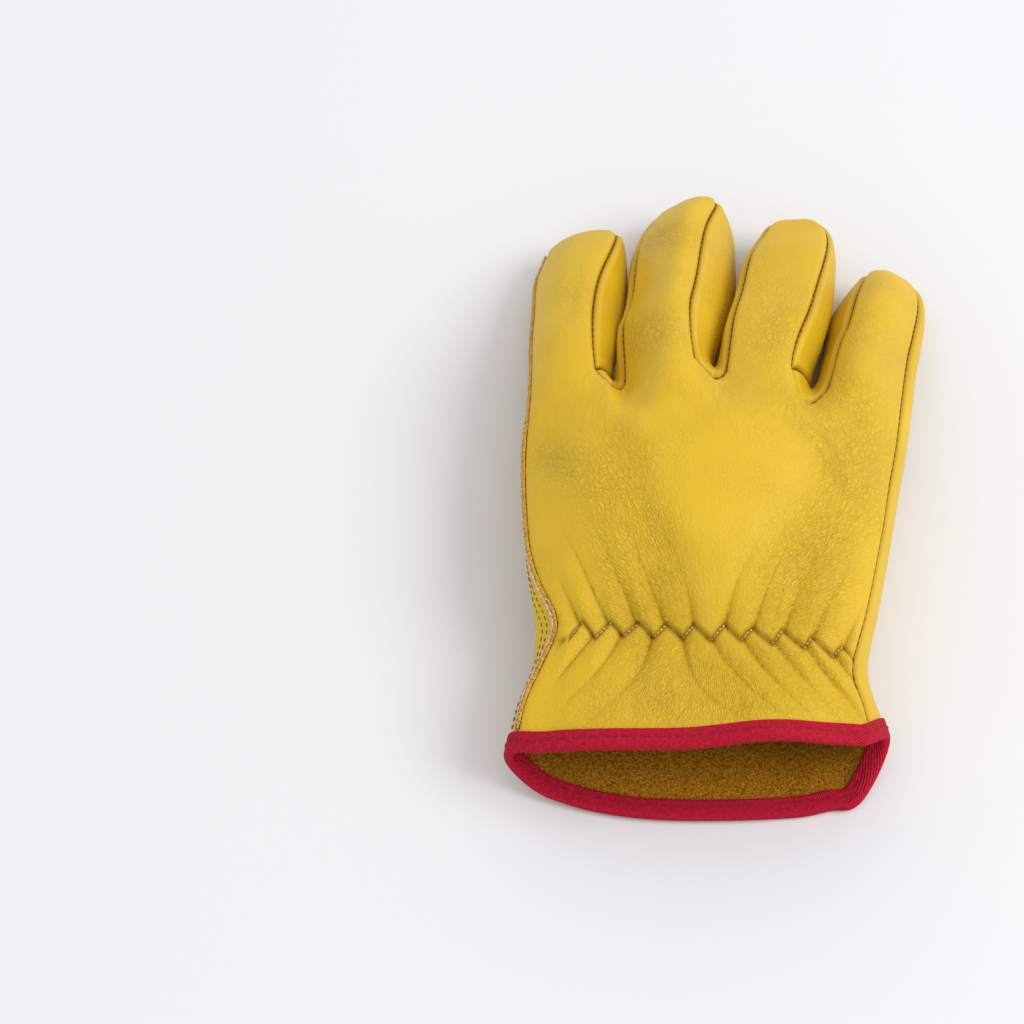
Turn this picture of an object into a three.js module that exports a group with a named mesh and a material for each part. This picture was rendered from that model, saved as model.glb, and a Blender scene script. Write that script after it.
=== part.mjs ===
import * as THREE from "three";

// Right-hand leather work glove lying palm down with the thumb folded under the palm. Millimetres, +Z up,
// fingers towards +Y, index finger at -X, floor at z = 0.

// Driving sizes
const LEATHER = 1.2; // wall of every leather piece
const SEAM_GAP = 0.26; // each leather edge stays this far from the seam line
const TURNED_IN = 0.4; // how far leather dips at a seam sewn from the inside
const LAP_RISE = 0.45; // how far the palm edge stands proud along the lapped index seam
const INDEX_CORNER_Y = 89; // the lapped seam ends at the corner of the index fingertip
const LAPPED_SIDE_X = -46; // and lies on this side of the hand
const FIT_ROUNDS = 8; // passes that pull the smooth surface through the tabled points
const CENTRE = [65.1, 1.4]; // plan centre of the tabled points, moved to the origin
const TAPE = 0.6; // binding tape thickness
const TAPE_GAP = 0.3; // room between tape and leather
const TAPE_WIDTH = 4.4; // how far the tape reaches over the leather on each side
const PLEAT_PITCH = 8.4; // gathers of the wrist elastic
const PLEAT_DEPTH = 1.1;
const PLEAT_FIRST_X = 20.7; // middle of the first gather below the elastic, tabled x
const PLEAT_REACH = 15; // how far the gathers run from the elastic
const PLEAT_FAN = 0.012; // spread of the gathers per mm away from the elastic
const ELASTIC_Y = -62.4; // at the middle of the hand
const ELASTIC_SLOPE = -0.08;
const ELASTIC_TURN = 3; // length over which a gather changes into the one beside it
const HAND_MIDDLE_X = 58;

// Finger sections from the crotch to the tip. Columns: y, left wall x, left seam x, right seam x, right wall x,
// top z, underside z. The shares give the seam and wall heights between underside and top.
const FINGERS = [
  {
    name: "index", leftSeam: 0.47, rightSeam: 0.95, wall: 0.42, tip: [24, 96, 11],
    rows: [
      [24, 5.6, 5.6, 26, 31, 42.5, 20],
      [44, 6.1, 6.1, 25.4, 33, 38, 16.5],
      [55, 6.7, 6.7, 26.2, 35, 34.2, 11.5],
      [66, 7.2, 7.2, 28, 36.4, 30.5, 6.5],
      [78, 8, 8, 31.6, 37.4, 26, 1.2],
      [87.5, 10.6, 10.6, 34, 37, 21.5, 0.2],
    ],
  },
  {
    name: "middle", leftSeam: 0.54, rightSeam: 0.95, wall: 0.34, tip: [59.4, 108.6, 11],
    rows: [
      [24, 31, 34, 55.8, 61.5, 48.5, 21],
      [46, 33.8, 34, 55.4, 64.9, 42.5, 17.8],
      [56, 35.8, 36, 57, 67.6, 38.8, 13.8],
      [67, 37.8, 38, 59, 70.2, 34.6, 9.6],
      [80, 39, 39.2, 61, 72, 30, 4.5],
      [92, 41, 41.4, 63.8, 72.6, 25.5, 0.4],
      [101.5, 44.6, 45.4, 66.8, 72, 21, 0.2],
    ],
  },
  {
    name: "ring", leftSeam: 0.88, rightSeam: 0.94, wall: 0.42, tip: [92, 101.6, 10.5],
    rows: [
      [22, 61.5, 64.6, 85.4, 91, 46, 19],
      [44, 65.6, 67.8, 91.2, 96.3, 39.6, 14],
      [55, 68.4, 70.4, 94.6, 99.6, 35.4, 9.5],
      [66, 71.6, 73, 97.6, 102.4, 31.5, 5.5],
      [79, 74.6, 76, 101, 104, 26.5, 0.8],
      [90.5, 79.4, 81, 101.8, 103.8, 21, 0.2],
    ],
  },
  {
    name: "little", leftSeam: 0.88, rightSeam: 0.62, wall: 0.38, tip: [119.5, 80.8, 10],
    rows: [
      [18, 91, 95.6, 119.8, 122.6, 42, 10],
      [38, 95.6, 101, 123.6, 126.4, 35.2, 7],
      [46, 97.4, 103.8, 125.6, 128.2, 32.2, 5.4],
      [53, 98.8, 106, 127.4, 129.8, 30, 3.8],
      [64, 101.2, 109, 130, 131.8, 25.5, 0.6],
      [73.5, 106.2, 112.4, 130.2, 131.8, 20.5, 0.2],
    ],
  },
];
const FINGER_SLOPE = 0.25; // sections lean forward because the fingers slope down to the tips
const TIP_RING = 0.66; // size of the last ring against the one before it
const TIP_REACH = 0.72; // how far that ring is towards the tip
const CORNER = [0.16, 0.1]; // inset of the lower corners, share of width and of height

// Crotches between neighbouring fingers: seam bottom on the back, web in the slit, edge on the palm side
const CROTCHES = [
  { top: [30.2, 20.4, 42.6], web: [31.4, 31.5, 25], under: [31.2, 20, 21.5], panels: ["front", "palm"] },
  { top: [61.1, 20.4, 46.4], web: [62.8, 35, 26], under: [62, 20, 20.5], panels: ["front", "front"] },
  { top: [88.6, 13.6, 42.4], web: [93, 30.5, 21], under: [91, 16.5, 13.5], panels: ["palm", "front"] },
];

// Hand sections from the knuckles to the cuff edge. Columns: y on the back, on the palm, at the left seam and at
// the right fold; left seam x, z; right seam x, z; right fold x, z; back crest z; left wall x, z; palm z over
// the thumb; palm z at the right.
const HAND = [
  [5, 5, 7, 4, 3.9, 31, 117.2, 31, 120, 17, 53, 6.5, 25.5, 22.4, 2],
  [-8, -5, -7, -8, 3.5, 31, 114.5, 31, 117.4, 17, 54, 6.5, 25.5, 22.4, 0.6],
  [-21, -19, -20, -21, 3.9, 31, 112, 31, 114.8, 17, 53, 6.5, 25.5, 22.2, -0.4],
  [-34, -33, -33, -33, 5.1, 31, 109.2, 31, 112.3, 17, 51, 6.3, 25, 21, -0.4],
  [-46, -45.5, -45, -45, 8.7, 31, 106.4, 31, 109.6, 17, 47.5, 7, 24, 18.5, -0.3],
  [-56, -56.5, -55, -54, 12.6, 31, 103.9, 30.5, 107.3, 17, 42.5, 7.3, 22, 14, 0.4],
  [-64.5, -66, -63.5, -62, 10.3, 30, 101.3, 30, 105.5, 17, 39, 6.5, 20, 10, 1.2],
  [-73, -75.5, -71, -68.5, 6.7, 28, 99.7, 29.5, 105.3, 17, 37.5, 4.6, 18, 7, 1.2],
  [-82, -85.5, -79, -74.5, 3.2, 26, 101.4, 28.5, 106.6, 15.5, 37, 1.8, 16, 4.6, 1],
  [-90, -95.5, -86.5, -80, 1.4, 23.5, 103, 27.5, 108.8, 13.5, 36.5, 0, 14, 2.7, 1.1],
  [-97.5, -104.5, -91.5, -84.5, 0.4, 21, 104, 26, 110.4, 11.5, 36, -1, 12.5, 1.6, 1],
];
// Fullness of each section's plan curve at the left and at the right
const BOW_BACK = [1.6, 2.1];
const BOW_PALM = [1.6, 2.9];
const CUFF_WAVE = { x: 74, half: 18, height: 5.5, levels: [8, 11] }; // rise in the back edge of the cuff
const ARCH = 2.6; // exponent of the back's arch across the hand
const EVEN_OUT = [0.3, 0.6, 0.85, 1]; // how soon the columns of the back become evenly spaced
const PALM_STEP = [66, 86]; // x range where the palm drops from the thumb to the floor

// Thumb hole in the palm, from the row and column where it starts. Columns: x, y.
const HOLE = { row: 2, rows: 4, column: 2, columns: 3 };
const HOLE_EDGE = [
  [16.8, -3.2], [20.5, -15], [27, -27], [33.5, -40], [42, -51], [49, -55.5], [56, -57],
  [61.5, -55.5], [65.5, -44], [64, -31], [58, -19], [48, -9], [37, -3], [26.5, -1],
];

// Thumb sections. Columns: left edge x, y; right edge x, y; mid height; thickness.
const THUMB = [
  [16.5, 7, 67, -32, 9.6, 19.4],
  [20, 17, 68.4, -10, 8.6, 19],
  [29, 28.5, 69.8, 10, 8.2, 18],
  [39.5, 39, 70, 27, 7.2, 15.6],
  [48.5, 46, 66.5, 39.5, 6.6, 9.6],
];
const THUMB_TIP = [59, 48, 7];
const THUMB_FLATNESS = 0.6;

// Soft folds pressed into the back. Columns: start x, y; end x, y; half width; depth (negative for a ridge).
const FOLDS = [
  [28, 4, 45, -50, 7, 2.2],
  [100, 0, 78, -57, 8, 2.5],
  [62, 8, 61, -50, 12, -0.9],
  [36, 16, 44, -4, 4, 0.5],
  [92, 8, 100, -20, 4, 0.6],
];

// Cage of control points and four-sided faces
const points = [];
const faces = [];
const add = (x, y, z) => points.push([x, y, z]) - 1;
const face = (panel, ...corners) => faces.push({ panel, corners });
const mix = (a, b, t) => a + (b - a) * t;
const smooth = (t) => {
  const s = Math.min(1, Math.max(0, t));
  return s * s * (3 - 2 * s);
};

function fingerRing(finger, row) {
  const [y, xL, xA, xB, xR, top, under] = row;
  const high = top - under;
  const wide = xR - xL;
  const wallZ = under + finger.wall * high;
  const middle = (xL + xR) / 2;
  const seamZ = under + finger.leftSeam * high;
  const left = finger.name === "index"
    ? [[xA, seamZ], [mix(xA, xB, 0.27), mix(seamZ, top, 0.72)], [mix(xA, xB, 0.64), top]]
    : [[xL, wallZ], [xA, seamZ], [mix(xA, xB, 0.5), top]];
  const outline = [
    ...left,
    [xB, under + finger.rightSeam * high],
    [xR, wallZ],
    [xR - CORNER[0] * wide, under + CORNER[1] * high],
    [middle, under],
    [xL + CORNER[0] * wide, under + CORNER[1] * high],
  ];
  return outline.map(([x, z]) => [x, y + FINGER_SLOPE * (z - (top + under) / 2), z]);
}

const SIDES = 8;
const panelOf = {
  index: (i) => (i < 3 ? "back" : "palm"),
  middle: (i) => (i === 1 || i === 2 ? "back" : "front"),
  ring: (i) => (i === 1 || i === 2 ? "back" : "front"),
  little: (i) => (i === 1 || i === 2 ? "back" : "palm"),
};

// Fingers: rings from the crotch to a rounded tip; neighbouring fingers share the web points
const webs = CROTCHES.map((c) => add(...c.web));
const bases = FINGERS.map((finger, f) => {
  const rings = finger.rows.map((row) => fingerRing(finger, row));
  const last = rings[rings.length - 1];
  rings.push(last.map((p) => [
    mix(finger.tip[0], p[0], TIP_RING),
    mix(p[1], finger.tip[1], TIP_REACH),
    mix(finger.tip[2], p[2], TIP_RING),
  ]));
  const ids = rings.map((ring, r) => ring.map((p, i) => {
    if (r === 0 && i === 0 && f > 0) return webs[f - 1];
    if (r === 0 && i === 4 && f < FINGERS.length - 1) return webs[f];
    return add(...p);
  }));
  const panel = panelOf[finger.name];
  for (let r = 0; r + 1 < ids.length; r++)
    for (let i = 0; i < SIDES; i++) {
      const j = (i + 1) % SIDES;
      face(panel(i), ids[r][i], ids[r][j], ids[r + 1][j], ids[r + 1][i]);
    }
  const end = ids[ids.length - 1];
  if (f === 0) {
    face("back", end[0], end[1], end[2], end[3]);
    face("palm", end[7], end[0], end[3], end[4]);
    face("palm", end[6], end[7], end[4], end[5]);
    return ids[0];
  }
  const tip = add(...finger.tip);
  for (let i = 1; i < SIDES; i += 2)
    face(i === 1 ? "back" : panel(4), end[i], end[(i + 1) % SIDES], end[(i + 2) % SIDES], tip);
  return ids[0];
});

// Knuckle ring: back of the hand from the index seam to the little finger, then back under the palm
const crotchTops = CROTCHES.map((c) => add(...c.top));
const crotchUnders = CROTCHES.map((c) => add(...c.under));
const knuckles = [];
bases.forEach((base, f) => {
  knuckles.push(...base.slice(f === 0 ? 0 : 1, 4));
  if (f < crotchTops.length) knuckles.push(crotchTops[f]);
});
const BACK_COLUMNS = knuckles.length;
for (let f = bases.length - 1; f >= 0; f--) {
  if (f === bases.length - 1) knuckles.push(bases[f][4]);
  knuckles.push(bases[f][5], bases[f][6], bases[f][7]);
  if (f > 0) knuckles.push(crotchUnders[f - 1]);
}
const COLUMNS = knuckles.length;
const PALM_COLUMNS = COLUMNS - BACK_COLUMNS;
CROTCHES.forEach((c, f) => {
  const left = bases[f];
  const right = bases[f + 1];
  face(c.panels[0], left[3], crotchTops[f], right[1], webs[f]);
  face(c.panels[1], webs[f], right[7], crotchUnders[f], left[5]);
});

// Hand: rings from the knuckles to the cuff edge
const firstX = knuckles.slice(0, BACK_COLUMNS).map((id) => points[id][0]);
const shares = firstX.map((x) => (x - firstX[0]) / (firstX[BACK_COLUMNS - 1] - firstX[0]));
const holeEdge = (row, column) => {
  const r = row - HOLE.row;
  const c = column - HOLE.column;
  if (r < 0 || r > HOLE.rows || c < 0 || c > HOLE.columns) return null;
  if (c === 0) return r;
  if (r === HOLE.rows) return HOLE.rows + c;
  if (c === HOLE.columns) return 2 * HOLE.rows + HOLE.columns - r;
  return r === 0 ? HOLE_EDGE.length - c : null;
};
const holeLoop = [];
const hand = [knuckles];
HAND.forEach((row, index) => {
  const [yBack, yPalm, yLeft, yRight, xL, zL, xA, zA, xF, zF, crest, xW, zW, zThumb, zPalm] = row;
  const level = index + 1;
  const even = EVEN_OUT[Math.min(index, EVEN_OUT.length - 1)];
  const bow = (x, middle, full) => {
    const u = Math.min(1, Math.max(0, (x - xL) / (xF - xL)));
    const power = mix(full[0], full[1], u);
    return mix(mix(yLeft, yRight, u), middle, (1 - Math.abs(2 * u - 1) ** power) ** (1 / power));
  };
  const ring = [];
  for (let i = 0; i < BACK_COLUMNS; i++) {
    const u = mix(shares[i], i / (BACK_COLUMNS - 1), even);
    const x = mix(xL, xA, u);
    const base = mix(zL, zA, u);
    const arch = 1 - Math.abs(2 * u - 1) ** ARCH;
    const reach = (level - CUFF_WAVE.levels[0]) / (CUFF_WAVE.levels[1] - CUFF_WAVE.levels[0]);
    const wave = CUFF_WAVE.height * smooth(reach) * Math.exp(-(((x - CUFF_WAVE.x) / CUFF_WAVE.half) ** 2));
    ring.push(add(x, bow(x, yBack, BOW_BACK), base + (crest - (zL + zA) / 2) * arch + wave));
  }
  ring.push(add(xF, yRight, zF));
  const palmZ = (x) => mix(zThumb, zPalm, smooth((x - PALM_STEP[0]) / (PALM_STEP[1] - PALM_STEP[0])));
  const anchors = [[0, xW, bow(xW, yPalm, BOW_PALM)], [PALM_COLUMNS - 1, xF, yRight]];
  for (const c of [HOLE.column, HOLE.column + HOLE.columns]) {
    const at = holeEdge(level, c);
    if (at !== null) anchors.push([c, ...HOLE_EDGE[at]]);
  }
  anchors.sort((a, b) => a[0] - b[0]);
  for (let c = PALM_COLUMNS - 2; c >= 0; c--) {
    const k = anchors.findIndex((a) => a[0] > c);
    const t = (c - anchors[k - 1][0]) / (anchors[k][0] - anchors[k - 1][0]);
    let x = mix(anchors[k - 1][1], anchors[k][1], t);
    let y = anchors.length === 2 ? bow(x, yPalm, BOW_PALM) : mix(anchors[k - 1][2], anchors[k][2], t);
    if (anchors.length > 2 && c > HOLE.column + HOLE.columns) {
      const reach = smooth((c - HOLE.column - HOLE.columns) / 4);
      y = mix(y, bow(x, yPalm, BOW_PALM), reach);
    }
    const at = holeEdge(level, c);
    if (at !== null) [x, y] = HOLE_EDGE[at];
    const r = level - HOLE.row;
    const inside = r > 0 && r < HOLE.rows && c > HOLE.column && c < HOLE.column + HOLE.columns;
    if (inside) {
      ring.push(-1);
      continue;
    }
    const z = c === 0
      ? zW
      : palmZ(x) + (zW - zThumb) * Math.exp((xW - x) / 6) + (zF - zPalm) * Math.exp((x - xF) / 4);
    const id = add(x, y, z);
    ring.push(id);
    if (at !== null) holeLoop[at] = id;
  }
  hand.push(ring);
});
for (let r = 0; r + 1 < hand.length; r++)
  for (let i = 0; i < COLUMNS; i++) {
    const j = (i + 1) % COLUMNS;
    const c = COLUMNS - 1 - i; // palm column of the left-hand corner
    const inHole = r >= HOLE.row && r < HOLE.row + HOLE.rows
      && c > HOLE.column && c <= HOLE.column + HOLE.columns;
    if (!inHole)
      face(i < BACK_COLUMNS - 1 ? "back" : "palm", hand[r + 1][i], hand[r + 1][j], hand[r][j], hand[r][i]);
  }

// Thumb: a flattened tube from the hole in the palm
const LOOP = HOLE_EDGE.length;
let loop = holeLoop;
for (const [xL, yL, xR, yR, middle, thick] of THUMB) {
  const next = [];
  for (let i = 0; i < LOOP; i++) {
    const a = (2 * Math.PI * i) / LOOP;
    const across = (1 - Math.cos(a)) / 2;
    const lift = -Math.sign(Math.sin(a)) * Math.abs(Math.sin(a)) ** THUMB_FLATNESS;
    next.push(add(mix(xL, xR, across), mix(yL, yR, across), middle + (lift * thick) / 2));
  }
  for (let i = 0; i < LOOP; i++) {
    const j = (i + 1) % LOOP;
    face("thumb", loop[i], next[i], next[j], loop[j]);
  }
  loop = next;
}
const thumbTip = add(...THUMB_TIP);
for (let i = 0; i < LOOP; i += 2) face("thumb", loop[i], thumbTip, loop[(i + 2) % LOOP], loop[i + 1]);

// Smooth surface: neighbours of every point, its place on the limit surface, and one round of subdivision
const plus = (a, b, s = 1) => [a[0] + b[0] * s, a[1] + b[1] * s, a[2] + b[2] * s];
const minus = (a, b) => plus(a, b, -1);
const mean = (list) => list.reduce((a, b) => plus(a, b), [0, 0, 0]).map((v) => v / list.length);
const cross = (a, b) => [
  a[1] * b[2] - a[2] * b[1],
  a[2] * b[0] - a[0] * b[2],
  a[0] * b[1] - a[1] * b[0],
];
const unit = (a) => {
  const long = Math.hypot(...a) || 1;
  return a.map((v) => v / long);
};
const keyOf = (a, b) => (a < b ? `${a}_${b}` : `${b}_${a}`);

function edgesOf(quads) {
  const edges = new Map();
  quads.forEach((q, f) => q.corners.forEach((a, k) => {
    const b = q.corners[(k + 1) % 4];
    const key = keyOf(a, b);
    if (!edges.has(key)) edges.set(key, { ends: [a, b], faces: [], directed: [] });
    edges.get(key).faces.push(f);
    edges.get(key).directed.push([a, b]);
  }));
  return edges;
}

function limitOf(count, quads) {
  const edges = edgesOf(quads);
  const near = Array.from({ length: count }, () => []);
  const rim = Array.from({ length: count }, () => []);
  const far = Array.from({ length: count }, () => []);
  for (const e of edges.values())
    e.ends.forEach((v, k) => {
      near[v].push(e.ends[1 - k]);
      if (e.faces.length === 1) rim[v].push(e.ends[1 - k]);
    });
  for (const q of quads) q.corners.forEach((v, k) => far[v].push(q.corners[(k + 2) % 4]));
  return (positions) => positions.map((p, v) => {
    if (rim[v].length) return mean([p, p, p, p, positions[rim[v][0]], positions[rim[v][1]]]);
    const n = near[v].length;
    let sum = p.map((value) => value * n * n);
    for (const m of near[v]) sum = plus(sum, positions[m], 4);
    for (const m of far[v]) sum = plus(sum, positions[m]);
    return sum.map((value) => value / (n * (n + 5)));
  });
}

function subdivide(positions, quads) {
  const edges = edgesOf(quads);
  const next = positions.map(() => null);
  const centres = quads.map((q) => mean(q.corners.map((v) => positions[v])));
  const atVertex = positions.map(() => ({ faces: [], middles: [], rim: [] }));
  quads.forEach((q, f) => q.corners.forEach((v) => atVertex[v].faces.push(centres[f])));
  for (const e of edges.values()) {
    const [a, b] = e.ends.map((v) => positions[v]);
    const middle = mean([a, b]);
    e.ends.forEach((v) => {
      atVertex[v].middles.push(middle);
      if (e.faces.length === 1) atVertex[v].rim.push(middle);
    });
    e.id = next.push(e.faces.length === 1 ? middle : mean([a, b, centres[e.faces[0]], centres[e.faces[1]]])) - 1;
  }
  positions.forEach((p, v) => {
    const { faces: around, middles, rim } = atVertex[v];
    const n = middles.length;
    if (rim.length) next[v] = mean([p, p, rim[0], rim[1]]);
    else next[v] = plus(plus(mean(around), mean(middles), 2), p, n - 3).map((value) => value / n);
  });
  const made = [];
  quads.forEach((q, f) => {
    const centre = next.push(centres[f]) - 1;
    const middles = q.corners.map((a, k) => edges.get(keyOf(a, q.corners[(k + 1) % 4])).id);
    q.corners.forEach((v, k) => made.push({
      panel: q.panel,
      corners: [v, middles[k], centre, middles[(k + 3) % 4]],
    }));
  });
  return [next, made];
}

const cageLimit = limitOf(points.length, faces);
let cage = points.map((p) => [...p]);
for (let k = 0; k < FIT_ROUNDS; k++) {
  const now = cageLimit(cage);
  cage = cage.map((p, i) => plus(p, minus(points[i], now[i])));
}
const [halfway, quads] = subdivide(cage, faces);
let skin = limitOf(halfway.length, quads)(halfway);

function normalsOf(positions, list) {
  const sums = positions.map(() => [0, 0, 0]);
  for (const q of list) {
    const [a, b, c, d] = q.corners.map((v) => positions[v]);
    const n = cross(minus(c, a), minus(d, b));
    for (const v of q.corners) sums[v] = plus(sums[v], n);
  }
  return sums.map(unit);
}

// Folds and gathers of the back, then the floor
const onBack = new Set();
for (const q of quads) if (q.panel === "back") q.corners.forEach((v) => onBack.add(v));
const firstNormals = normalsOf(skin, quads);
function foldDepth([x, y]) {
  let depth = 0;
  for (const [x0, y0, x1, y1, half, deep] of FOLDS) {
    const along = [x1 - x0, y1 - y0];
    const long = Math.hypot(...along);
    const t = ((x - x0) * along[0] + (y - y0) * along[1]) / long ** 2;
    const off = Math.abs((x - x0) * along[1] - (y - y0) * along[0]) / long;
    const ends = smooth((t + 0.15) / 0.3) * smooth((1.15 - t) / 0.3);
    depth += deep * ends * Math.exp(-((off / half) ** 2));
  }
  const above = y - ELASTIC_Y - ELASTIC_SLOPE * (x - HAND_MIDDLE_X);
  const away = Math.abs(above);
  const spread = HAND_MIDDLE_X + (x - HAND_MIDDLE_X) / (1 + PLEAT_FAN * away);
  const side = 1 - 2 * smooth(above / ELASTIC_TURN + 0.5);
  const wave = side * Math.cos((2 * Math.PI * (spread - PLEAT_FIRST_X)) / PLEAT_PITCH);
  return depth - PLEAT_DEPTH * wave * Math.exp(-((away / PLEAT_REACH) ** 2));
}
skin = skin.map((p, v) => {
  const bent = onBack.has(v) ? plus(p, firstNormals[v], -foldDepth(p)) : p;
  return [bent[0] - CENTRE[0], bent[1] - CENTRE[1], Math.max(0, bent[2])];
});
const normals = normalsOf(skin, quads);

// Leather pieces: outer face, inner face and the cut edge between them
const edges = edgesOf(quads);
const lapped = new Set();
for (const e of edges.values()) {
  const panels = e.faces.map((f) => quads[f].panel);
  const left = e.ends.every((v) => skin[v][0] < LAPPED_SIDE_X && skin[v][1] < INDEX_CORNER_Y);
  if (panels.includes("back") && panels.includes("palm") && left) e.ends.forEach((v) => lapped.add(v));
}

// The two rows of points behind the cuff edge lie flat inside the binding
function rowBehind(ring, seen) {
  const behind = new Map();
  for (const e of edges.values()) {
    const [a, b] = e.ends;
    if (ring.has(a) && !ring.has(b) && !seen.has(b)) behind.set(a, b);
    if (ring.has(b) && !ring.has(a) && !seen.has(a)) behind.set(b, a);
  }
  return behind;
}
const cuffEdge = new Set([...edges.values()].filter((e) => e.faces.length === 1).flatMap((e) => e.ends));
const firstRow = rowBehind(cuffEdge, new Set());
const secondRow = rowBehind(new Set(firstRow.values()), cuffEdge);
const taped = new Set([...cuffEdge, ...firstRow.values(), ...secondRow.values()]);

function leatherPiece(panel) {
  const own = quads.filter((q) => q.panel === panel);
  const border = [...edgesOf(own).values()].filter((e) => e.faces.length === 1).map((e) => e.directed[0]);
  const inward = new Map();
  for (const [a, b] of border) {
    if (cuffEdge.has(a) && cuffEdge.has(b)) continue;
    for (const v of [a, b]) {
      const side = unit(cross(normals[v], minus(skin[b], skin[a])));
      inward.set(v, [...(inward.get(v) || []), side]);
    }
  }
  const outer = new Map();
  const inner = new Map();
  for (const q of own)
    for (const v of q.corners) {
      if (outer.has(v)) continue;
      let p = skin[v];
      const n = normals[v];
      if (inward.has(v)) {
        const sides = inward.get(v);
        const along = unit(mean(sides));
        const share = along[0] * sides[0][0] + along[1] * sides[0][1] + along[2] * sides[0][2];
        const lap = panel === "palm" ? LAP_RISE : -LAP_RISE;
        const lift = lapped.has(v) ? lap : -TURNED_IN;
        p = plus(plus(p, along, SEAM_GAP / Math.max(0.5, share)), n, taped.has(v) ? 0 : lift);
      }
      outer.set(v, p);
      inner.set(v, plus(p, n, -LEATHER));
    }
  const triangles = [];
  const quad = (a, b, c, d) => triangles.push(a, b, c, a, c, d);
  for (const q of own) {
    quad(...q.corners.map((v) => outer.get(v)));
    quad(...q.corners.map((v) => inner.get(v)).reverse());
  }
  for (const [a, b] of border) quad(outer.get(b), outer.get(a), inner.get(a), inner.get(b));
  return triangles;
}

// Cuff binding: a folded tape swept round the cuff edge, following the leather on both sides
function bindingPiece() {
  const rimEdges = [...edges.values()].filter((e) => e.faces.length === 1).map((e) => e.directed[0]);
  const nextOf = new Map(rimEdges.map(([a, b]) => [a, b]));
  const order = [];
  for (let v = rimEdges[0][0]; order.length < rimEdges.length; v = nextOf.get(v)) order.push(v);
  const out = TAPE_GAP + TAPE;
  const outside = out;
  const inside = -LEATHER - out;
  const bend = out - 0.8;
  const profile = [
    [outside, -TAPE_WIDTH], [outside, bend], [outside - 0.8, out], [inside + 0.8, out], [inside, bend],
    [inside, -TAPE_WIDTH], [inside + TAPE, -TAPE_WIDTH], [inside + TAPE, TAPE_GAP],
    [outside - TAPE, TAPE_GAP], [outside - TAPE, -TAPE_WIDTH],
  ];
  // The leather's place and normal this far along from the cuff edge; beyond the edge it runs straight on
  const leatherAt = (v, along) => {
    const chain = [v, firstRow.get(v), secondRow.get(firstRow.get(v))];
    const steps = [0, 1].map((k) => Math.hypot(...minus(skin[chain[k + 1]], skin[chain[k]])));
    if (along >= 0) return [plus(skin[v], unit(minus(skin[v], skin[chain[1]])), along), normals[v]];
    const k = -along <= steps[0] ? 0 : 1;
    const t = (-along - k * steps[0]) / steps[k];
    const at = plus(skin[chain[k]], minus(skin[chain[k + 1]], skin[chain[k]]), t);
    return [at, unit(plus(normals[chain[k]], minus(normals[chain[k + 1]], normals[chain[k]]), t))];
  };
  const rings = order.map((v) => profile.map(([across, along]) => {
    const [at, n] = leatherAt(v, along);
    return plus(at, n, across);
  }));
  const triangles = [];
  rings.forEach((ring, r) => {
    const next = rings[(r + 1) % rings.length];
    ring.forEach((p, i) => {
      const j = (i + 1) % ring.length;
      triangles.push(p, ring[j], next[j], p, next[j], next[i]);
    });
  });
  return triangles;
}

function meshOf(name, triangles, color, roughness) {
  const geometry = new THREE.BufferGeometry();
  geometry.setAttribute("position", new THREE.Float32BufferAttribute(triangles.flat(), 3));
  geometry.computeVertexNormals();
  const material = new THREE.MeshStandardMaterial({ color, roughness, metalness: 0 });
  const mesh = new THREE.Mesh(geometry, material);
  mesh.name = name;
  return mesh;
}

const YELLOW = 0xe6c139;
const RED = 0xa41e31;
const glove = new THREE.Group();
glove.add(meshOf("back_panel", leatherPiece("back"), YELLOW, 0.5));
glove.add(meshOf("palm_panel", leatherPiece("palm"), YELLOW, 0.5));
glove.add(meshOf("finger_front", leatherPiece("front"), YELLOW, 0.5));
glove.add(meshOf("thumb", leatherPiece("thumb"), YELLOW, 0.5));
glove.add(meshOf("cuff_binding", bindingPiece(), RED, 0.85));

export default glove;
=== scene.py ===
import math

import bmesh
import bpy
import numpy as np
from mathutils import Matrix, Vector, noise
from mathutils.bvhtree import BVHTree
from mathutils.kdtree import KDTree


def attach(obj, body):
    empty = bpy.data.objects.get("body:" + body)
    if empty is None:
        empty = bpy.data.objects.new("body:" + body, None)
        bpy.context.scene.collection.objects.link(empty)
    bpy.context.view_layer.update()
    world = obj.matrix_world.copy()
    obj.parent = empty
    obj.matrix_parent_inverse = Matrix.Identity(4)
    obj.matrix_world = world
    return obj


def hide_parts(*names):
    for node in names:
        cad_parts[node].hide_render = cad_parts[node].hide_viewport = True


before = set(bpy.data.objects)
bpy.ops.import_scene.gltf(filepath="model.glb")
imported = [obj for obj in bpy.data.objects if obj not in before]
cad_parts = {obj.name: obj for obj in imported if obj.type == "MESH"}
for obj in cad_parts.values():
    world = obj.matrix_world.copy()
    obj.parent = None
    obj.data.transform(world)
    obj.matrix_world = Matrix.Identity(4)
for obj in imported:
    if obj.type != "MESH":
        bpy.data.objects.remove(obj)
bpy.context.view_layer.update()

# Camera
# It stands in front of the cuff and looks down on the back of the hand from 60 degrees above the table,
# through a 100 mm lens, as the photograph was taken.
LOOK_AT = Vector((-0.0651, -0.0014, 0))
CAMERA_AWAY = 0.889
CAMERA_HEIGHT = math.radians(60)
LENS, SENSOR = 100, 36
camera_data = bpy.data.cameras.new("camera")
camera_data.lens = LENS
camera_data.sensor_width = SENSOR
camera = bpy.data.objects.new("camera", camera_data)
camera.location = LOOK_AT + CAMERA_AWAY * Vector((0, -math.cos(CAMERA_HEIGHT), math.sin(CAMERA_HEIGHT)))
camera.rotation_euler = (math.pi / 2 - CAMERA_HEIGHT, 0, 0)
bpy.context.collection.objects.link(camera)
bpy.context.scene.camera = camera

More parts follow.
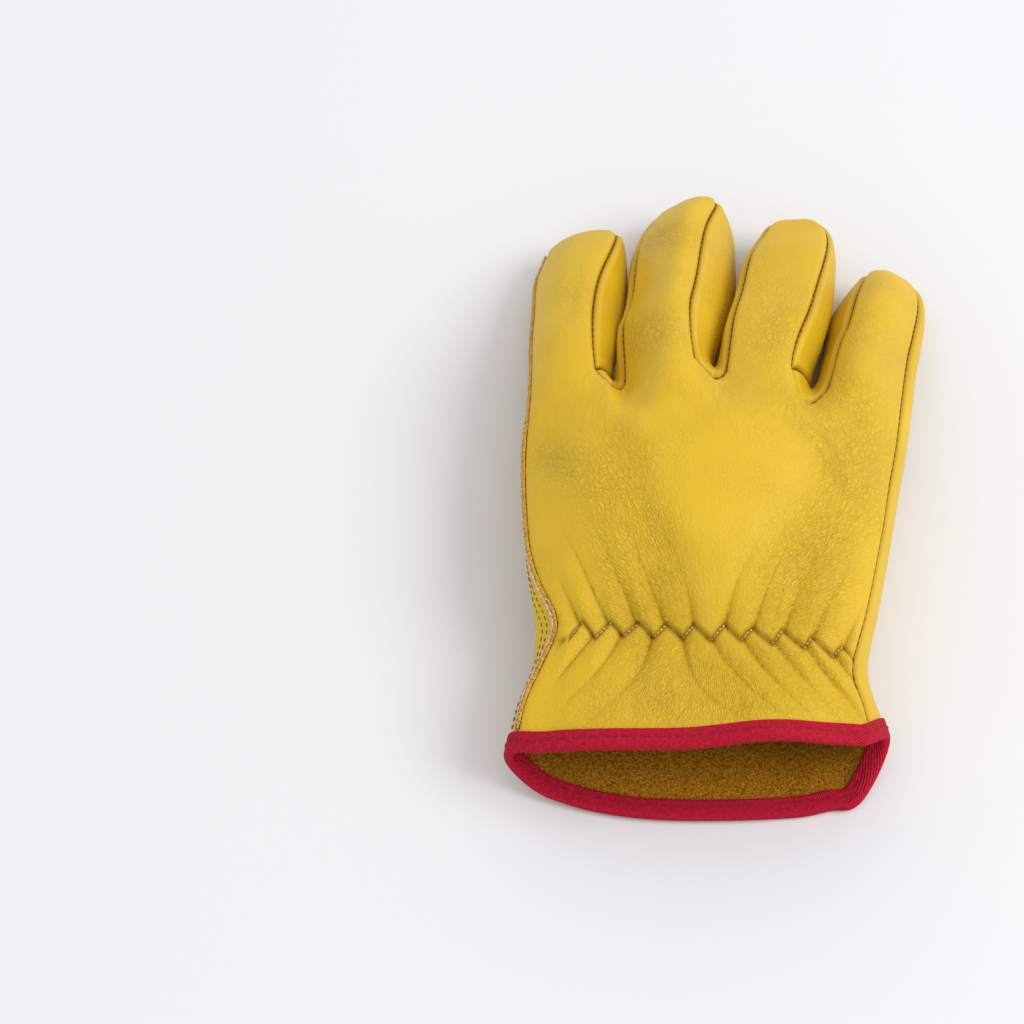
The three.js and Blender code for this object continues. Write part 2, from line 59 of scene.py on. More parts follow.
# The sewn form
# Four pieces of cowhide are sewn inside out and turned, so they share one soft form. It is one smooth surface
# through finger, hand and thumb sections; each leather piece is cut out of it further down. Sizes are in
# millimetres, from a corner left of the index finger; CENTRE moves them to the middle of the glove.
MM = 0.001
LEATHER = 1.2
CENTRE = (65.1, 1.4)
FIT_ROUNDS = 8  # how often the cage is moved until its smooth surface runs through the tabled places
FINE, COARSE = 4, 3  # subdivisions of the outer and of the inner face
CUTS = ("back", "palm", "front", "thumb")

# Finger sections from the crotch to the tip. Columns: y; x of the left wall, left seam, right seam and right
# wall; z of the top and the underside. The shares give the heights of the seams and walls between these two.
FINGERS = {
    "index": {
        "left_seam": 0.47, "right_seam": 0.95, "wall": 0.42, "tip": (24, 96, 11),
        "rows": [
            (24, 5.6, 5.6, 26, 31, 42.5, 20),
            (44, 6.1, 6.1, 25.4, 33, 38, 16.5),
            (55, 6.7, 6.7, 26.2, 35, 34.2, 11.5),
            (66, 7.2, 7.2, 28, 36.4, 30.5, 6.5),
            (78, 8, 8, 31.6, 37.4, 26, 1.2),
            (87.5, 10.6, 10.6, 34, 37, 21.5, 0.2),
        ],
    },
    "middle": {
        "left_seam": 0.54, "right_seam": 0.95, "wall": 0.34, "tip": (59.4, 108.6, 11),
        "rows": [
            (24, 31, 34, 55.8, 61.5, 48.5, 21),
            (46, 33.8, 34, 55.4, 64.9, 42.5, 17.8),
            (56, 35.8, 36, 57, 67.6, 38.8, 13.8),
            (67, 37.8, 38, 59, 70.2, 34.6, 9.6),
            (80, 39, 39.2, 61, 72, 30, 4.5),
            (92, 41, 41.4, 63.8, 72.6, 25.5, 0.4),
            (101.5, 44.6, 45.4, 66.8, 72, 21, 0.2),
        ],
    },
    "ring": {
        "left_seam": 0.88, "right_seam": 0.94, "wall": 0.42, "tip": (92, 101.6, 10.5),
        "rows": [
            (22, 61.5, 64.6, 85.4, 91, 46, 19),
            (44, 65.6, 67.8, 91.2, 96.3, 39.6, 14),
            (55, 68.4, 70.4, 94.6, 99.6, 35.4, 9.5),
            (66, 71.6, 73, 97.6, 102.4, 31.5, 5.5),
            (79, 74.6, 76, 101, 104, 26.5, 0.8),
            (90.5, 79.4, 81, 101.8, 103.8, 21, 0.2),
        ],
    },
    "little": {
        "left_seam": 0.88, "right_seam": 0.62, "wall": 0.38, "tip": (119.5, 80.8, 10),
        "rows": [
            (18, 91, 95.6, 119.8, 122.6, 42, 10),
            (38, 95.6, 101, 123.6, 126.4, 35.2, 7),
            (46, 97.4, 103.8, 125.6, 128.2, 32.2, 5.4),
            (53, 98.8, 106, 127.4, 129.8, 30, 3.8),
            (64, 101.2, 109, 130, 131.8, 25.5, 0.6),
            (73.5, 106.2, 112.4, 130.2, 131.8, 20.5, 0.2),
        ],
    },
}
FINGER_SLOPE = 0.25  # how far a finger section leans back for each millimetre of its height
INDEX_SHOULDER = (0.27, 0.72)  # share of the way between the index seams, and up from the seam to the top
INDEX_CREST = 0.64
TIP_RING = 0.66  # the ring round a fingertip: its share of the last section's width
TIP_REACH = 0.72  # and of the way to the tip
CORNER = (0.16, 0.1)  # corners of the underside, in shares of a section's width and height
# Crotches: seam bottom on the back, web in the slit, edge on the palm side, cuts of the two web patches
CROTCHES = [
    ((30.2, 20.4, 42.6), (31.4, 31.5, 25), (31.2, 20, 21.5), ("front", "palm")),
    ((61.1, 20.4, 46.4), (62.8, 35, 26), (62, 20, 20.5), ("front", "front")),
    ((88.6, 13.6, 42.4), (93, 30.5, 21), (91, 16.5, 13.5), ("palm", "front")),
]
# Hand sections from the knuckles to the cuff. Columns: y on the back, on the palm, at the left seam and at
# the right fold; left seam x, z; right seam x, z; right fold x, z; crest z; left wall x, z; palm z over the
# thumb and at the right.
HAND = [
    (5, 5, 7, 4, 3.9, 31, 117.2, 31, 120, 17, 53, 6.5, 25.5, 22.4, 2),
    (-8, -5, -7, -8, 3.5, 31, 114.5, 31, 117.4, 17, 54, 6.5, 25.5, 22.4, 0.6),
    (-21, -19, -20, -21, 3.9, 31, 112, 31, 114.8, 17, 53, 6.5, 25.5, 22.2, -0.4),
    (-34, -33, -33, -33, 5.1, 31, 109.2, 31, 112.3, 17, 51, 6.3, 25, 21, -0.4),
    (-46, -45.5, -45, -45, 8.7, 31, 106.4, 31, 109.6, 17, 47.5, 7, 24, 18.5, -0.3),
    (-56, -56.5, -55, -54, 12.6, 31, 103.9, 30.5, 107.3, 17, 42.5, 7.3, 22, 14, 0.4),
    (-64.5, -66, -63.5, -62, 10.3, 30, 101.3, 30, 105.5, 17, 39, 6.5, 20, 10, 1.2),
    (-73, -75.5, -71, -68.5, 6.7, 28, 99.7, 29.5, 105.3, 17, 37.5, 4.6, 18, 7, 1.2),
    (-82, -85.5, -79, -74.5, 3.2, 26, 101.4, 28.5, 106.6, 15.5, 37, 1.8, 16, 4.6, 1),
    (-90, -95.5, -86.5, -80, 1.4, 23.5, 103, 27.5, 108.8, 13.5, 36.5, 0, 14, 2.7, 1.1),
    (-97.5, -104.5, -91.5, -84.5, 0.4, 21, 104, 26, 110.4, 11.5, 36, -1, 12.5, 1.6, 1),
]
BOW_BACK = (1.6, 2.1)  # how square a section's bow is at its left and right ends
BOW_PALM = (1.6, 2.9)
CUFF_WAVE = {"x": 74, "half": 18, "height": 5.5, "levels": (8, 11)}
ARCH = 2.6  # how square the arch of the back is
EVEN_OUT = (0.3, 0.6, 0.85, 1)  # how far each section's columns are spread evenly, from the knuckles down
PALM_STEP = (66, 86)  # x over which the palm goes down from the thumb's height to the table
PALM_BLEND = 4  # columns over which the palm beside the thumb hole falls in with the section's bow
LEFT_WALL_FADE, RIGHT_FOLD_FADE = 6, 4  # millimetres over which the palm bends up at both sides
HOLE = {"row": 2, "rows": 4, "column": 2, "columns": 3}  # faces of the palm that the thumb hole takes up
HOLE_EDGE = [  # x, y round the hole, from its upper left corner down
    (16.8, -3.2), (20.5, -15), (27, -27), (33.5, -40), (42, -51), (49, -55.5), (56, -57),
    (61.5, -55.5), (65.5, -44), (64, -31), (58, -19), (48, -9), (37, -3), (26.5, -1),
]
# Thumb sections. Columns: left edge x, y; right edge x, y; mid height; thickness.
THUMB = [
    (16.5, 7, 67, -32, 9.6, 19.4),
    (20, 17, 68.4, -10, 8.6, 19),
    (29, 28.5, 69.8, 10, 8.2, 18),
    (39.5, 39, 70, 27, 7.2, 15.6),
    (48.5, 46, 66.5, 39.5, 6.6, 9.6),
]
THUMB_TIP = (59, 48, 7)
THUMB_FLATNESS = 0.6  # 1 is an oval section, less is squarer

points, patches, cut_of = [], [], []


def point(x, y, z):
    points.append((x, y, z))
    return len(points) - 1


def patch(cut, *corners):
    patches.append(corners)
    cut_of.append(CUTS.index(cut))


def mix(a, b, t):
    return a + (b - a) * t


def smooth(t):
    t = np.clip(t, 0, 1)
    return t * t * (3 - 2 * t)


def finger_ring(name, row):
    """The eight places round one finger section, from its left wall or seam over the top."""
    finger = FINGERS[name]
    y, left, seam_a, seam_b, right, top, under = row
    high, wide = top - under, right - left
    wall = under + finger["wall"] * high
    seam = under + finger["left_seam"] * high
    if name == "index":
        shoulder = (mix(seam_a, seam_b, INDEX_SHOULDER[0]), mix(seam, top, INDEX_SHOULDER[1]))
        upper = [(seam_a, seam), shoulder, (mix(seam_a, seam_b, INDEX_CREST), top)]
    else:
        upper = [(left, wall), (seam_a, seam), (mix(seam_a, seam_b, 0.5), top)]
    outline = upper + [
        (seam_b, under + finger["right_seam"] * high),
        (right, wall),
        (right - CORNER[0] * wide, under + CORNER[1] * high),
        ((left + right) / 2, under),
        (left + CORNER[0] * wide, under + CORNER[1] * high),
    ]
    return [(x, y + FINGER_SLOPE * (z - (top + under) / 2), z) for x, z in outline]


def finger_cut(name, side):
    """Which leather piece covers this side of a finger."""
    if name == "index":
        return "back" if side < 3 else "palm"
    if side in (1, 2):
        return "back"
    return "palm" if name == "little" else "front"


SIDES = 8
webs = [point(*web) for _, web, _, _ in CROTCHES]
bases = []
for f, (name, finger) in enumerate(FINGERS.items()):
    tip = finger["tip"]
    rings = [finger_ring(name, row) for row in finger["rows"]]
    rings.append([
        (mix(tip[0], x, TIP_RING), mix(y, tip[1], TIP_REACH), mix(tip[2], z, TIP_RING))
        for x, y, z in rings[-1]
    ])
    shared = {0: webs[f - 1] if f > 0 else None, 4: webs[f] if f < len(webs) else None}
    ids = [
        [shared[i] if r == 0 and shared.get(i) is not None else point(*p) for i, p in enumerate(ring)]
        for r, ring in enumerate(rings)
    ]
    for low, high in zip(ids, ids[1:]):
        for i in range(SIDES):
            j = (i + 1) % SIDES
            patch(finger_cut(name, i), low[i], low[j], high[j], high[i])
    end = ids[-1]
    if f == 0:
        patch("back", end[0], end[1], end[2], end[3])
        patch("palm", end[7], end[0], end[3], end[4])
        patch("palm", end[6], end[7], end[4], end[5])
    else:
        middle = point(*tip)
        for i in range(1, SIDES, 2):
            cut = "back" if i == 1 else finger_cut(name, 4)
            patch(cut, end[i], end[(i + 1) % SIDES], end[(i + 2) % SIDES], middle)
    bases.append(ids[0])

tops = [point(*top) for top, _, _, _ in CROTCHES]
unders = [point(*under) for _, _, under, _ in CROTCHES]
knuckles = []
for f, base in enumerate(bases):
    knuckles += base[0 if f == 0 else 1:4] + tops[f:f + 1]
BACK_COLUMNS = len(knuckles)
knuckles.append(bases[-1][4])
for f in reversed(range(len(bases))):
    knuckles += bases[f][5:8]
    if f > 0:
        knuckles.append(unders[f - 1])
COLUMNS = len(knuckles)
PALM_COLUMNS = COLUMNS - BACK_COLUMNS
for f, (_, _, _, cuts) in enumerate(CROTCHES):
    left, right = bases[f], bases[f + 1]
    patch(cuts[0], left[3], tops[f], right[1], webs[f])
    patch(cuts[1], webs[f], right[7], unders[f], left[5])


def hole_place(level, column):
    """Which point of the thumb hole's edge this point of the hand is, or None."""
    r, c = level - HOLE["row"], column - HOLE["column"]
    rows, columns = HOLE["rows"], HOLE["columns"]
    if not (0 <= r <= rows and 0 <= c <= columns):
        return None
    if c == 0:
        return r
    if r == rows:
        return rows + c
    if c == columns:
        return 2 * rows + columns - r
    return len(HOLE_EDGE) - c if r == 0 else None


first_x = [points[i][0] for i in knuckles[:BACK_COLUMNS]]
shares = [(x - first_x[0]) / (first_x[-1] - first_x[0]) for x in first_x]
hole_loop = [None] * len(HOLE_EDGE)
hand = [knuckles]
for level, row in enumerate(HAND, 1):
    y_back, y_palm, y_left, y_right, xl, zl, xa, za, xf, zf, crest, xw, zw, z_thumb, z_palm = row
    even = EVEN_OUT[min(level - 1, len(EVEN_OUT) - 1)]

    def bowed(x, middle, full):
        """Y of a place across this section, bowed out from its ends to the middle."""
        u = min(1, max(0, (x - xl) / (xf - xl)))
        power = mix(*full, u)
        return mix(mix(y_left, y_right, u), middle, (1 - abs(2 * u - 1) ** power) ** (1 / power))

    ring = []
    for i in range(BACK_COLUMNS):
        u = mix(shares[i], i / (BACK_COLUMNS - 1), even)
        x = mix(xl, xa, u)
        start, full = CUFF_WAVE["levels"]
        wave = CUFF_WAVE["height"] * smooth((level - start) / (full - start))
        wave *= math.exp(-(((x - CUFF_WAVE["x"]) / CUFF_WAVE["half"]) ** 2))
        z = mix(zl, za, u) + (crest - (zl + za) / 2) * (1 - abs(2 * u - 1) ** ARCH) + wave
        ring.append(point(x, bowed(x, y_back, BOW_BACK), z))
    ring.append(point(xf, y_right, zf))
    last = HOLE["column"] + HOLE["columns"]
    anchors = [(0, xw, bowed(xw, y_palm, BOW_PALM)), (PALM_COLUMNS - 1, xf, y_right)]
    for c in (HOLE["column"], last):
        at = hole_place(level, c)
        if at is not None:
            anchors.append((c, *HOLE_EDGE[at]))
    anchors.sort()
    for c in range(PALM_COLUMNS - 2, -1, -1):
        k = next(i for i, anchor in enumerate(anchors) if anchor[0] > c)
        t = (c - anchors[k - 1][0]) / (anchors[k][0] - anchors[k - 1][0])
        x = mix(anchors[k - 1][1], anchors[k][1], t)
        y = bowed(x, y_palm, BOW_PALM) if len(anchors) == 2 else mix(anchors[k - 1][2], anchors[k][2], t)
        if len(anchors) > 2 and c > last:
            y = mix(y, bowed(x, y_palm, BOW_PALM), smooth((c - last) / PALM_BLEND))
        at = hole_place(level, c)
        if at is not None:
            x, y = HOLE_EDGE[at]
        if HOLE["row"] < level < HOLE["row"] + HOLE["rows"] and HOLE["column"] < c < last:
            ring.append(None)
            continue
        palm_z = mix(z_thumb, z_palm, smooth((x - PALM_STEP[0]) / (PALM_STEP[1] - PALM_STEP[0])))
        left_rise = (zw - z_thumb) * math.exp((xw - x) / LEFT_WALL_FADE)
        z = palm_z + left_rise + (zf - z_palm) * math.exp((x - xf) / RIGHT_FOLD_FADE)
        ring.append(point(x, y, zw if c == 0 else z))
        if at is not None:
            hole_loop[at] = ring[-1]
    hand.append(ring)
for r, (upper, lower) in enumerate(zip(hand, hand[1:])):
    for i in range(COLUMNS):
        j, c = (i + 1) % COLUMNS, COLUMNS - 1 - i
        in_hole_rows = HOLE["row"] <= r < HOLE["row"] + HOLE["rows"]
        if not (in_hole_rows and HOLE["column"] < c <= HOLE["column"] + HOLE["columns"]):
            patch("back" if i < BACK_COLUMNS - 1 else "palm", lower[i], lower[j], upper[j], upper[i])

loop = hole_loop
LOOP = len(loop)
for xl, yl, xr, yr, height, thick in THUMB:
    following = []
    for i in range(LOOP):
        turn = 2 * math.pi * i / LOOP
        across = (1 - math.cos(turn)) / 2
        lift = -math.copysign(abs(math.sin(turn)) ** THUMB_FLATNESS, math.sin(turn))
        following.append(point(mix(xl, xr, across), mix(yl, yr, across), height + lift * thick / 2))
    for i in range(LOOP):
        j = (i + 1) % LOOP
        patch("thumb", loop[i], following[i], following[j], loop[j])
    loop = following
thumb_end = point(*THUMB_TIP)
for i in range(0, LOOP, 2):
    patch("thumb", loop[i], thumb_end, loop[(i + 2) % LOOP], loop[i + 1])


def surface_weights(count, quads):
    """Matrix that takes cage points to their places on the smooth surface.

    A point on the rim weighs 4 to 1 against its two neighbours there. Any other point with n neighbours
    weighs n * n, to 4 for each neighbour and 1 for each far corner of the faces round it.
    """
    edges = {}
    for quad in quads:
        for a, b in zip(quad, quad[1:] + quad[:1]):
            edges[frozenset((a, b))] = edges.get(frozenset((a, b)), 0) + 1
    near, rim, far = ([[] for _ in range(count)] for _ in range(3))
    for edge, uses in edges.items():
        a, b = edge
        for v, other in ((a, b), (b, a)):
            near[v].append(other)
            if uses == 1:
                rim[v].append(other)
    for quad in quads:
        for k in range(4):
            far[quad[k]].append(quad[k - 2])
    weights = np.zeros((count, count))
    for v in range(count):
        n = len(near[v])
        if rim[v]:
            weights[v, v] = 4 / 6
            weights[v, rim[v]] = 1 / 6
            continue
        weights[v, v] = n * n
        weights[v, near[v]] += 4
        weights[v, far[v]] += 1
        weights[v] /= n * (n + 5)
    return weights


targets = np.array(points, float)
to_surface = surface_weights(len(points), patches)
cage_points = targets.copy()
for _ in range(FIT_ROUNDS):
    cage_points += targets - to_surface @ cage_points
cage_mesh = bpy.data.meshes.new("cage")
cage_mesh.from_pydata(cage_points.tolist(), [], patches)
cage_mesh.attributes.new("cut", "INT", "FACE").data.foreach_set("value", cut_of)
cage = bpy.data.objects.new("cage", cage_mesh)
bpy.context.collection.objects.link(cage)
rounding = cage.modifiers.new("rounding", "SUBSURF")
rounding.render_levels = FINE


def numbers(items, key, width, kind=float):
    """One property of every item of a mesh, as rows of an array."""
    found = np.empty(len(items) * width, kind)
    items.foreach_get(key, found)
    return found.reshape(-1, width) if width > 1 else found


def normals_of(places, quads):
    across = np.cross(places[quads[:, 2]] - places[quads[:, 0]], places[quads[:, 3]] - places[quads[:, 1]])
    sums = np.zeros_like(places)
    for k in range(4):
        np.add.at(sums, quads[:, k], across)
    return sums / np.maximum(np.linalg.norm(sums, axis=1, keepdims=True), 1e-9)


def rounded(levels):
    """The smooth surface after this many subdivisions: places, four corners of each face, its cut."""
    rounding.levels = levels
    mesh = bpy.data.meshes.new_from_object(cage.evaluated_get(bpy.context.evaluated_depsgraph_get()))
    places = numbers(mesh.vertices, "co", 3)
    quads = numbers(mesh.loops, "vertex_index", 1, np.int32).reshape(-1, 4)
    cuts = numbers(mesh.attributes["cut"].data, "value", 1, np.int32)
    bpy.data.meshes.remove(mesh)
    return places, quads, cuts


fine_places, fine_quads, fine_cuts = rounded(FINE)
coarse_places, coarse_quads, coarse_cuts = rounded(COARSE)
bpy.data.objects.remove(cage)
fine_normals = normals_of(fine_places, fine_quads)
coarse_normals = normals_of(coarse_places, coarse_quads)

# Folds and gathers of the back
# Worn-in hollows run down the back of the hand, and a narrow elastic sewn inside in a zigzag draws the wrist
# together. Above the zigzag the leather puffs out over its lower corners, below it over its upper ones.
FOLDS = [  # start x, y; end x, y; half width; depth
    (28, 4, 45, -50, 7, 2.2),
    (100, 0, 78, -57, 8, 2.5),
    (62, 8, 61, -50, 12, -0.9),
    (36, 16, 44, -4, 4, 0.5),
    (92, 8, 100, -20, 4, 0.6),
]
ZIGZAG = np.array([  # x, y of the lower and upper corners by turns, from the index side
    (16.6, -61.4), (20.7, -57.2), (24.1, -62.7), (28.6, -58.9), (32.2, -63), (36.5, -59.9), (40.9, -63.9),
    (44.6, -60.9), (49.2, -64.2), (52.7, -61.2), (57.3, -65), (61.4, -61.1), (66, -64.8), (69.5, -61.8),
    (75.3, -65.6), (78.3, -61.8), (84.7, -66), (87.1, -62.7), (93.1, -67.1), (96.1, -64.3), (101, -68.5),
])
FOLD_END = 0.15  # share of its length over which a fold dies out, inside and outside its ends
ZIGZAG_SLANT = 0.72  # distance across the zigzag for each millimetre along y
ZIGZAG_HALF = 2
GATHER_ENDS = (6, 5)  # how far the gathers run out beyond the first and the last corner
# The folds of the gathers fan out from these x, by at most this much sideways for each millimetre up or down
LEAN_ABOVE = {"x": 56, "half": 12, "most": 0.45}
LEAN_BELOW = {"x": 46, "half": 22, "most": 0.85}
PUFF = {"height": 2.4, "sharp": 0.62, "level": 0.62, "above": 16, "below": 19, "fall": 1.4}
UNEVEN = {"least": 0.82, "swing": 0.3, "step": 2.4, "below": 1.7}  # reach of each puff beside the next
PINCH = {"depth": 1.1, "half": 0.75}


def folds(x, y):
    """Height of the long hollows and ridges of the back."""
    depth = np.zeros_like(x)
    for x0, y0, x1, y1, half, deep in FOLDS:
        dx, dy = x1 - x0, y1 - y0
        length = math.hypot(dx, dy)
        t = ((x - x0) * dx + (y - y0) * dy) / length ** 2
        off = ((x - x0) * dy - (y - y0) * dx) / length
        ends = smooth((t + FOLD_END) / (2 * FOLD_END)) * smooth((1 + FOLD_END - t) / (2 * FOLD_END))
        depth += deep * ends * np.exp(-((off / half) ** 2))
    return -depth


def gathers(x, y):
    """Height of the gathers, and how deep in their creases a place is, which sets the painted shade there."""
    line = np.interp(x, ZIGZAG[:, 0], ZIGZAG[:, 1])
    middle_line = np.interp(x, ZIGZAG[::2, 0], ZIGZAG[::2, 1]) + ZIGZAG_HALF
    above = y > line
    away = np.abs(y - line)
    far = np.abs(y - middle_line)
    lean = np.where(
        above,
        LEAN_ABOVE["most"] * np.tanh((x - LEAN_ABOVE["x"]) / LEAN_ABOVE["half"]),
        LEAN_BELOW["most"] * np.tanh((x - LEAN_BELOW["x"]) / LEAN_BELOW["half"]),
    )
    foot = x - lean * far
    phase = np.interp(foot, ZIGZAG[:, 0], math.pi / 2 * np.arange(len(ZIGZAG)))
    bulge = np.where(above, np.abs(np.cos(phase)), np.abs(np.sin(phase))) ** PUFF["sharp"]
    number = np.floor(phase / math.pi + np.where(above, 0.5, 0))
    turn = number * UNEVEN["step"] + np.where(above, 0, UNEVEN["below"])
    vary = UNEVEN["least"] + UNEVEN["swing"] * np.sin(turn)
    reach = np.where(above, PUFF["above"], PUFF["below"]) * vary
    fade = np.exp(-((away / reach) ** PUFF["fall"]))
    first, last = GATHER_ENDS
    edge = smooth((x - ZIGZAG[0, 0] + first) / first) * smooth((ZIGZAG[-1, 0] + last - x) / first)
    pinch = np.exp(-((away * ZIGZAG_SLANT / PINCH["half"]) ** 2))
    inside = (x > ZIGZAG[0, 0]) & (x < ZIGZAG[-1, 0])
    height = PUFF["height"] * (bulge - PUFF["level"]) * fade * edge - PINCH["depth"] * pinch * inside
    crease_shade = (1 - bulge) ** 3 * fade * edge + pinch * inside
    return height, np.clip(crease_shade, 0, 1)


# Seams
# Every seam but one is sewn inside out, so both edges roll down into a narrow groove. Along the index side of
# the hand the palm piece laps over the back piece, with its edge left raw. Each place on the leather knows
# how far the nearest seam is and of what kind.
TURNED, LAPPED = 0, 1
SEAM_GAP = 0.1
# The groove along a turned seam, and the lip that the leather puffs up beside it
GROOVE = {"depth": 1.05, "half": 0.85, "lip": 0.28, "lip_at": 2.3, "lip_half": 1.3}
INNER_GROOVE = 0.45  # depth of a turned seam on the inner face
LAP_RISE = 0.45
LAP_TUCK = 0.5  # how much deeper the back piece's grain side dips beside the lapped edge
INDEX_CORNER_Y = 89
LAPPED_SIDE_X = -46


def shared_edges(quads, cuts):
    """Edges between two faces: their ends, and the cuts of the faces on both sides."""
    ends = np.sort(np.stack([quads, np.roll(quads, -1, 1)], 2).reshape(-1, 2), 1)
    owner = np.repeat(cuts, 4)
    order = np.lexsort((ends[:, 1], ends[:, 0]))
    ends, owner = ends[order], owner[order]
    twice = np.flatnonzero((ends[1:] == ends[:-1]).all(1))
    return ends[twice], np.stack([owner[twice], owner[twice + 1]], 1)


def lines_of(edges):
    """Edges joined end to end into lines of vertices."""
    near = {}
    for a, b in edges.tolist():
        near.setdefault(a, []).append(b)
        near.setdefault(b, []).append(a)
    starts = [v for v, others in near.items() if len(others) == 1] or [min(near)]
    used, found = set(), []
    for start in starts + sorted(near):
        if start in used:
            continue
        line, here = [start], start
        used.add(start)
        while True:
            onward = [v for v in near[here] if v not in used]
            if not onward:
                break
            here = onward[0]
            used.add(here)
            line.append(here)
        if len(line) > 2:
            if line[0] in near[line[-1]]:
                line.append(line[0])
            found.append(line)
    return found


seam_ends, seam_sides = shared_edges(fine_quads, fine_cuts)
SEAMS = {}
for names in (("back", "palm"), ("back", "front"), ("palm", "front"), ("palm", "thumb")):
    a, b = (CUTS.index(name) for name in names)
    chosen = (seam_sides == (a, b)).all(1) | (seam_sides == (b, a)).all(1)
    SEAMS[names] = lines_of(seam_ends[chosen])


def is_lapped(place):
    """True along the outer side of the index finger and the hand, up to the corner of the fingertip."""
    return place[0] - CENTRE[0] < LAPPED_SIDE_X and place[1] - CENTRE[1] < INDEX_CORNER_Y


def tree_of(places):
    """Places filed so that the nearest one to any other can be found."""
    tree = KDTree(len(places))
    for number, place in enumerate(places.tolist()):
        tree.insert(place, number)
    tree.balance()
    return tree


seam_vertices = sorted({v for lines in SEAMS.values() for line in lines for v in line})
index_seam = {v for line in SEAMS["back", "palm"] for v in line if is_lapped(fine_places[v])}
seam_tree = tree_of(fine_places[seam_vertices])


def seam_distances(places):
    """Distance of each place from the nearest seam, and the kind of that seam."""
    found = [seam_tree.find(place) for place in places.tolist()]
    kinds = [LAPPED if seam_vertices[number] in index_seam else TURNED for _, number, _ in found]
    return np.array([distance for _, _, distance in found]), np.array(kinds)


fine_distance, fine_kind = seam_distances(fine_places)
coarse_distance, coarse_kind = seam_distances(coarse_places)

# Leather wear
# The grain side is smooth where it is stretched and breaks into fine creases where it bends: in fans under
# the crotches, across the finger joints and beside the hollows of the back.
FANS = [  # x, y of the point that the creases run from; reach; depth; spacing in degrees
    (30.4, 25, 22, 0.2, 9), (61, 25, 26, 0.17, 7), (88.6, 19, 22, 0.2, 8),
]
CREASES = [  # x, y; half length, half width of the patch; direction in degrees; depth; spacing
    (98, -8, 15, 6, -46, 0.42, 3.2),
    (14, -6, 10, 5, -54, 0.24, 2.4),
    (33, -28, 26, 8, -78, 0.16, 2.2),
    (94, -28, 26, 9, -114, 0.18, 2.2),
    (49, 86, 13, 7, -50, 0.2, 2),
    (44, 38, 12, 8, -28, 0.18, 2.2),
    (21, 62, 10, 9, -60, 0.12, 2.2),
    (80, 62, 22, 9, -75, 0.1, 2.2),
    (83, 34, 12, 9, -40, 0.14, 2.4),
    (114, 44, 16, 9, -80, 0.12, 2.2),
    (40, -48, 18, 12, -70, 0.22, 2.6),
    (84, -48, 16, 12, -110, 0.22, 2.6),
    (60, -84, 12, 34, -90, 0.2, 2.6),
    (106, 10, 14, 8, -60, 0.12, 2.2),
]
LINE_WIDTH = 0.13
FAINT = {"fan": 0.05, "patch": 0.06}  # a crease fainter than this is left out
FAN_WANDER = 7  # millimetres along a crease over which it wanders
PATCH_WANDER = {"bend": 9, "long": 3.5}  # the same in a patch: its bends, and in spacings of its creases
FAN_CLEAR = 5  # no crease this near the point of a fan
FAN_SIDES = (100, 30)  # degrees to both sides that a fan spreads, and over which it dies out
SEAM_CALM, GATHER_CALM = 8, 3  # the folds and the gathers die out over this distance from the seams
SHADE = {"wear_depth": 0.3, "wear": 0.25, "seam": 0.75}  # crease depth of full wear, which gets the full painted shade; painted shade of the wear creases, of the seam grooves
GRAIN_FAN = {"x": 60, "y": -62, "behind": 8, "round": 50, "long": 0.42, "up": 0.3}
DRAWN = {"depth": 0.2, "long": 1.5, "wide": 1.3}  # crease depth that draws the grain fully; size of its patch


def along_across(places, x0, y0, degrees):
    """Distances of places from a point, along a direction and across it."""
    c, s = math.cos(math.radians(degrees)), math.sin(math.radians(degrees))
    dx, dy = places[:, 0] - x0, places[:, 1] - y0
    return dx * c + dy * s, dy * c - dx * s


def fine_creases(places):
    """Depth of the fine creases at each place: thin lines where a noise passes through zero."""
    depth = np.zeros(len(places))
    for seed, (x0, y0, reach, deep, spacing) in enumerate(FANS):
        dx, dy = places[:, 0] - x0, places[:, 1] - y0
        away = np.hypot(dx, dy)
        angle = np.degrees(np.arctan2(dx, -dy))
        side = smooth((FAN_SIDES[0] - np.abs(angle)) / FAN_SIDES[1])
        mask = smooth(away / FAN_CLEAR) * np.exp(-((away / reach) ** 2)) * side
        for i in np.flatnonzero(mask > FAINT["fan"]):
            wave = noise.noise(Vector((away[i] / FAN_WANDER, angle[i] / spacing, seed * 7.7)))
            depth[i] += deep * mask[i] * math.exp(-((wave / LINE_WIDTH) ** 2))
    for seed, (x0, y0, long, wide, degrees, deep, spacing) in enumerate(CREASES):
        along, across = along_across(places, x0, y0, degrees)
        mask = np.exp(-((along / long) ** 2) - (across / wide) ** 2)
        bends, long_step = PATCH_WANDER["bend"], PATCH_WANDER["long"] * spacing
        for i in np.flatnonzero(mask > FAINT["patch"]):
            bend = noise.noise(Vector((along[i] / bends, across[i] / bends, seed * 3.1 + 40)))
            wave = noise.noise(Vector((along[i] / long_step, across[i] / spacing + bend, seed * 5.3)))
            depth[i] += deep * mask[i] * math.exp(-((wave / LINE_WIDTH) ** 2))
    return depth


